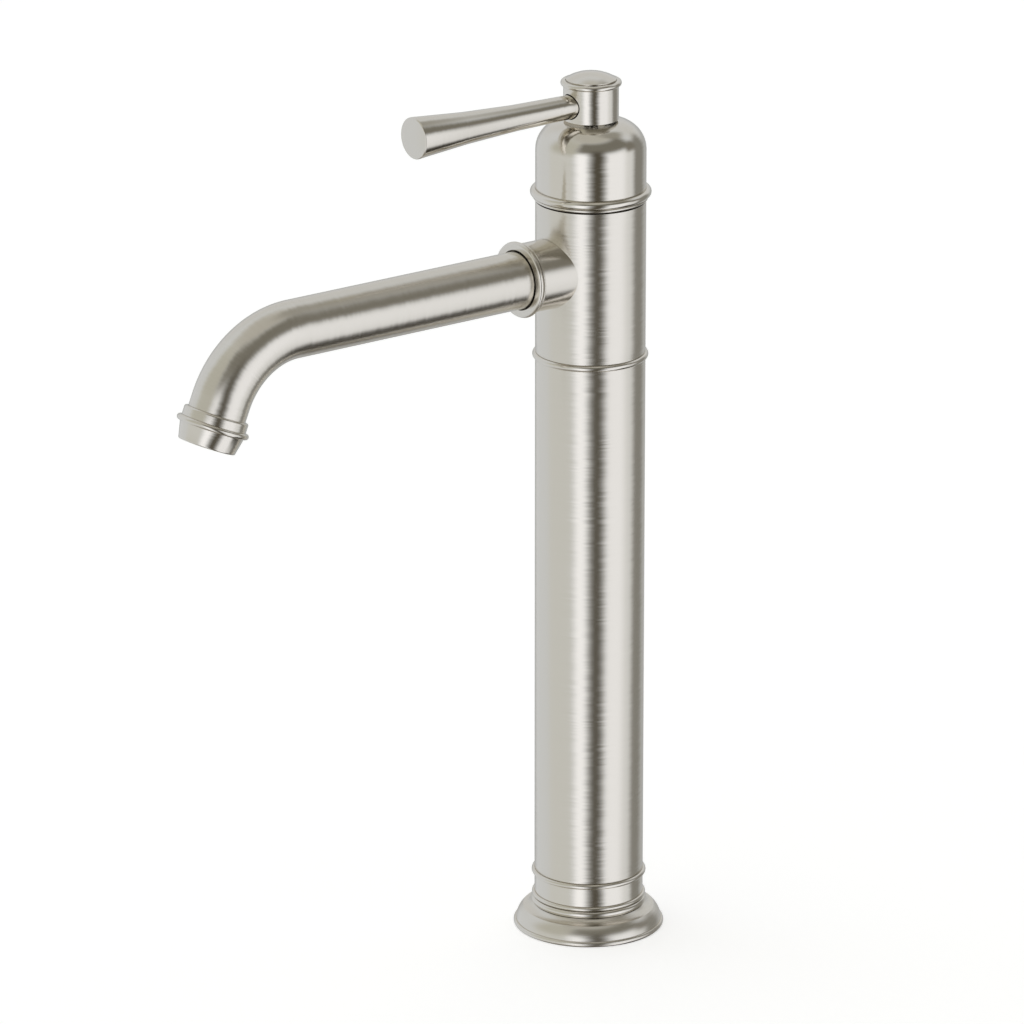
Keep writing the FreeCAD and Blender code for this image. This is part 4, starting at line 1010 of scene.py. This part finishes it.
class FAUCET_OT_handle_hub(bpy.types.Operator):
    """Hub with a concave underside, a bead, and seats for button and lever"""

    bl_idname = "faucet.handle_hub"
    bl_label = "Hub"

    def execute(self, context):
        s = sizes()
        crown_rise = CAP_HIGH.z - PIVOT
        flat = WALL - s.cap_corner
        sweep = math.hypot(flat, crown_rise - s.cap_corner) + s.cap_corner + s.hub_clearance
        hole = STEM_HIGH.x - s.stem_step
        seat = s.hub_radius - s.button_rim + s.button_gap
        middle = HUB_HIGH.x - s.hub_bead
        bead_low = HUB_HIGH.z - 2 * s.hub_bead
        screw_seat = BUTTON_LOW.z - s.screw_seat
        piece = turned("handle_hub_turned", [
            (hole, PIVOT + math.sqrt(sweep**2 - hole**2)),
            (s.hub_radius, PIVOT + math.sqrt(sweep**2 - s.hub_radius**2), sweep, -1),
            (s.hub_radius, bead_low),
            (middle, bead_low),
            (middle, HUB_HIGH.z, s.hub_bead, 1),
            (seat, HUB_HIGH.z),
            (seat, BUTTON_LOW.z),
            (s.screw_head, BUTTON_LOW.z),
            (s.screw_head, screw_seat),
            (s.screw_radius, screw_seat),
            (s.screw_radius, STEM_HIGH.z),
            (hole, STEM_HIGH.z),
        ])
        inner = s.hub_radius - s.lever_seat
        way = rod(s.lever_radius + s.lever_gap, inner, 2 * s.hub_radius, TOOL_SIDES)
        carve(piece, put(way, (0, 0, LEVER_AXIS), FORWARD), "DIFFERENCE")
        return finish(piece, "lever", "handle_hub", fine_brushed_nickel, UPRIGHT)


class FAUCET_OT_hub_button(bpy.types.Operator):
    """Domed button in the hub's top"""

    bl_idname = "faucet.hub_button"
    bl_label = "Button"

    def execute(self, context):
        s = sizes()
        edge = HUB_HIGH.z + s.button_edge
        piece = turned("hub_button_turned", [
            (POLE, BUTTON_LOW.z),
            (BUTTON_HIGH.x, BUTTON_LOW.z),
            (BUTTON_HIGH.x, edge),
            (POLE, BUTTON_HIGH.z, s.button_curve, 1),
        ], closed=False)
        return finish(piece, "lever", "hub_button", crisp_brushed_nickel, UPRIGHT)


class FAUCET_OT_lever_rod(bpy.types.Operator):
    """Lever that flares to a crisp thick end"""

    bl_idname = "faucet.lever_rod"
    bl_label = "Lever"

    def execute(self, context):
        s = sizes()
        seat = s.hub_radius - s.lever_seat
        slim_end = s.hub_radius + s.lever_slim
        tip = -LEVER_LOW.y - s.lever_crown
        flare = tip - s.lever_round - slim_end
        gain = s.lever_end - s.lever_radius
        face = s.lever_end - s.lever_round
        flare_curve = (flare**2 + gain**2) / (2 * gain)
        face_curve = (face**2 + s.lever_crown**2) / (2 * s.lever_crown)
        piece = turned("lever_rod_turned", [
            (POLE, -LEVER_HIGH.y),
            (s.lever_stud, -LEVER_HIGH.y),
            (s.lever_stud, seat),
            (s.lever_radius, seat),
            (s.lever_radius, slim_end),
            (s.lever_end, tip - s.lever_round, flare_curve, -1),
            (face, tip, s.lever_round, 1),
            (POLE, tip + s.lever_crown, face_curve, 1),
        ], closed=False)
        put(piece, (0, 0, LEVER_AXIS), FORWARD)
        return finish(piece, "lever", "lever_rod", crisp_brushed_nickel, ALONG_LEVER)


class FAUCET_OT_inner_pieces(bpy.types.Operator):
    """Finishes for all solids of the frame, of which those inside are kept"""

    bl_idname = "faucet.inner_pieces"
    bl_label = "Inner Pieces"

    def execute(self, context):
        for part in frame["record"]["subparts"]:
            materials = frame["nodes"][part["node"]].data.materials
            materials.clear()
            materials.append(FINISHES[part["material_slot"]]())
        return {"FINISHED"}


# --- studio ---


class FAUCET_OT_studio(bpy.types.Operator):
    """Camera, pale floor and soft studio light"""

    bl_idname = "faucet.studio"
    bl_label = "Studio"

    def execute(self, context):
        scene = context.scene
        studio = scene.faucet_studio
        scene.view_settings.view_transform = "Standard"
        place_camera(scene, studio)
        lay_floor(studio)
        light_world(scene, studio)
        return {"FINISHED"}


def place_camera(scene, studio):
    back = Vector((
        math.sin(studio.azimuth) * math.cos(studio.elevation),
        -math.cos(studio.azimuth) * math.cos(studio.elevation),
        math.sin(studio.elevation),
    ))
    deselect_all()
    bpy.ops.object.camera_add(location=Vector(studio.aim) + back * studio.distance)
    camera = bpy.context.object
    camera.rotation_euler = (-back).to_track_quat("-Z", "Y").to_euler()
    camera.data.lens = studio.lens
    scene.camera = camera


def lay_floor(studio):
    deselect_all()
    bpy.ops.mesh.primitive_circle_add(
        vertices=FLOOR_SIDES, radius=studio.floor_radius, fill_type="NGON"
    )
    floor = bpy.context.object
    floor.name = floor.data.name = "floor"
    floor.visible_glossy = False
    material, tree, shader = finish_material("matt_white_floor")
    tree.nodes.remove(shader)
    output = tree.nodes["Material Output"]
    ray = node(tree, "ShaderNodeLightPath")
    paint = node(tree, "ShaderNodeBsdfDiffuse", {"Color": studio.floor_colour})
    lift = node(tree, "ShaderNodeMath", {
        0: ray.outputs["Is Camera Ray"], 1: studio.floor_glow,
    }, operation="MULTIPLY")
    glow = node(tree, "ShaderNodeEmission", {"Color": (1, 1, 1, 1), "Strength": lift.outputs[0]})
    both = node(tree, "ShaderNodeAddShader", {0: paint.outputs[0], 1: glow.outputs[0]})
    tree.links.new(both.outputs[0], output.inputs["Surface"])
    floor.data.materials.append(material)


# Softboxes, walls and flags round the faucet, later ones in front of earlier ones. Each has its
# name, its middle, half width and soft edge to the right of the room's front, the same upwards,
# all in degrees, its colour and its level.
PANELS = (
    ("left wall", (-66, 28, 9), (-15, 75, 9), "#FDFFFF", 0.72),
    ("ceiling", (0, 180, 1), (90, 29, 13), "#FEFCF4", 0.54),
    ("left wall, upper part", (-62, 34, 16), (36, 26, 13), "#FCFCF2", 0.56),
    ("back wall", (165, 42, 11), (-40, 50, 12), "#FCFEFF", 0.50),
    ("back wall, upper part", (172, 46, 20), (29, 17, 12), "#FDFEFF", 0.69),
    ("floor", (0, 180, 1), (-90, 39, 9), "#FFFAF0", 0.30),
    ("ceiling, right part", (124, 30, 13), (62, 14, 8), "#FEFBF0", 0.35),
    ("right wall", (118, 20, 10), (-8, 36, 9), "#FFFDF6", 0.27),
    ("ceiling flag", (36, 66, 13), (42, 20, 9), "#FEF9EA", 0.21),
    ("right softbox, faded end", (78, 19, 12), (-26, 42, 9), "#F6F8FC", 0.90),
    ("right softbox", (53.5, 22.5, 11), (-26, 42, 9), "#F6F8FF", 1.15),
    ("ceiling flag, right foot", (96, 13, 7), (20, 12, 7), "#FFF8EA", 0.22),
    ("left strip softbox", (-19, 12.5, 10), (-18, 37, 9), "#F6F8FF", 1.29),
    ("front flag", (14.25, 14.25, 12), (-30, 60, 9), "#FFF3DA", 0.095),
    ("floor flag", (114, 34, 10), (-68, 28, 8), "#FFF3DE", 0.05),
)


def light_world(scene, studio):
    world = bpy.data.worlds.new("studio")
    scene.world = world
    world.use_nodes = True
    tree = world.node_tree
    tree.nodes.clear()
    direction = node(tree, "ShaderNodeTexCoord").outputs["Generated"]
    turn = studio.room_azimuth
    front = (math.sin(turn), -math.cos(turn), 0)
    right = (math.cos(turn), math.sin(turn), 0)
    ahead, aside = (
        node(tree, "ShaderNodeVectorMath", {0: direction, 1: way}, operation="DOT_PRODUCT")
        for way in (front, right)
    )
    height = node(tree, "ShaderNodeSeparateXYZ", {"Vector": direction})
    across = node(tree, "ShaderNodeMath", {
        0: aside.outputs["Value"], 1: ahead.outputs["Value"],
    }, operation="ARCTAN2")
    up = node(tree, "ShaderNodeMath", {0: height.outputs["Z"]}, operation="ARCSINE")
    light = node(tree, "ShaderNodeRGB").outputs[0]
    light.default_value = [studio.room_level * c for c in studio.room_colour[:3]] + [1]
    for name, wide, tall, hex_colour, level in PANELS:
        inside = [
            panel_reach(tree, angle.outputs[0], *map(math.radians, spread), wrap)
            for angle, spread, wrap in ((across, wide, True), (up, tall, False))
        ]
        cover = node(tree, "ShaderNodeMath", {0: inside[0], 1: inside[1]}, operation="MULTIPLY")
        panel = [level * c for c in linear(hex_colour)[:3]] + [1]
        light = node(tree, "ShaderNodeMix", {
            0: cover.outputs[0], COLOUR_A: light, COLOUR_B: panel,
        }, data_type="RGBA", label=name).outputs[MIXED]
    ray = node(tree, "ShaderNodeLightPath")
    white = node(tree, "ShaderNodeBackground", {"Color": (1, 1, 1, 1), "Strength": 1.0})
    room = node(tree, "ShaderNodeBackground", {"Color": light, "Strength": 1.0})
    choice = node(tree, "ShaderNodeMixShader", {
        0: ray.outputs["Is Camera Ray"], 1: room.outputs[0], 2: white.outputs[0],
    })
    node(tree, "ShaderNodeOutputWorld", {"Surface": choice.outputs[0]})


def panel_reach(tree, angle, middle, half, edge, wrap):
    """1 within a panel, 0 outside it, and smooth at its edge."""
    offset = node(tree, "ShaderNodeMath", {0: angle, 1: middle}, operation="SUBTRACT")
    if wrap:
        offset = node(tree, "ShaderNodeMath", {
            0: offset.outputs[0], 1: math.pi, 2: -math.pi,
        }, operation="WRAP")
    away = node(tree, "ShaderNodeMath", {0: offset.outputs[0]}, operation="ABSOLUTE")
    reach = node(tree, "ShaderNodeMapRange", {
        "Value": away.outputs[0], "From Min": half - edge, "From Max": half + edge,
        "To Min": 1.0, "To Max": 0.0,
    }, interpolation_type="SMOOTHSTEP")
    return reach.outputs["Result"]


# --- panel and registration ---

STEPS = (
    FAUCET_OT_base_flange,
    FAUCET_OT_base_collar,
    FAUCET_OT_column,
    FAUCET_OT_mid_ring,
    FAUCET_OT_upper_body,
    FAUCET_OT_trim_collar,
    FAUCET_OT_spout_tube,
    FAUCET_OT_nozzle,
    FAUCET_OT_turning_cap,
    FAUCET_OT_handle_hub,
    FAUCET_OT_hub_button,
    FAUCET_OT_lever_rod,
    FAUCET_OT_inner_pieces,
    FAUCET_OT_studio,
)


class FAUCET_PT_panel(bpy.types.Panel):
    """Lists the steps in the order in which they are made"""

    bl_idname = "FAUCET_PT_panel"
    bl_label = "Tall Basin Faucet"
    bl_space_type = "VIEW_3D"
    bl_region_type = "UI"
    bl_category = "Faucet"

    def draw(self, context):
        for step in STEPS:
            self.layout.operator(step.bl_idname)


CLASSES = (FaucetSizes, FaucetFinish, FaucetStudio, *STEPS, FAUCET_PT_panel)


def register():
    for entry in CLASSES:
        bpy.utils.register_class(entry)
    bpy.types.Scene.faucet_sizes = PointerProperty(type=FaucetSizes)
    bpy.types.Scene.faucet_finish = PointerProperty(type=FaucetFinish)
    bpy.types.Scene.faucet_studio = PointerProperty(type=FaucetStudio)


def unregister():
    del bpy.types.Scene.faucet_studio
    del bpy.types.Scene.faucet_finish
    del bpy.types.Scene.faucet_sizes
    for entry in reversed(CLASSES):
        bpy.utils.unregister_class(entry)


def main():
    register()
    for step in STEPS:
        group, name = step.bl_idname.split(".")
        getattr(getattr(bpy.ops, group), name)()


if __name__ == "__main__":
    main()
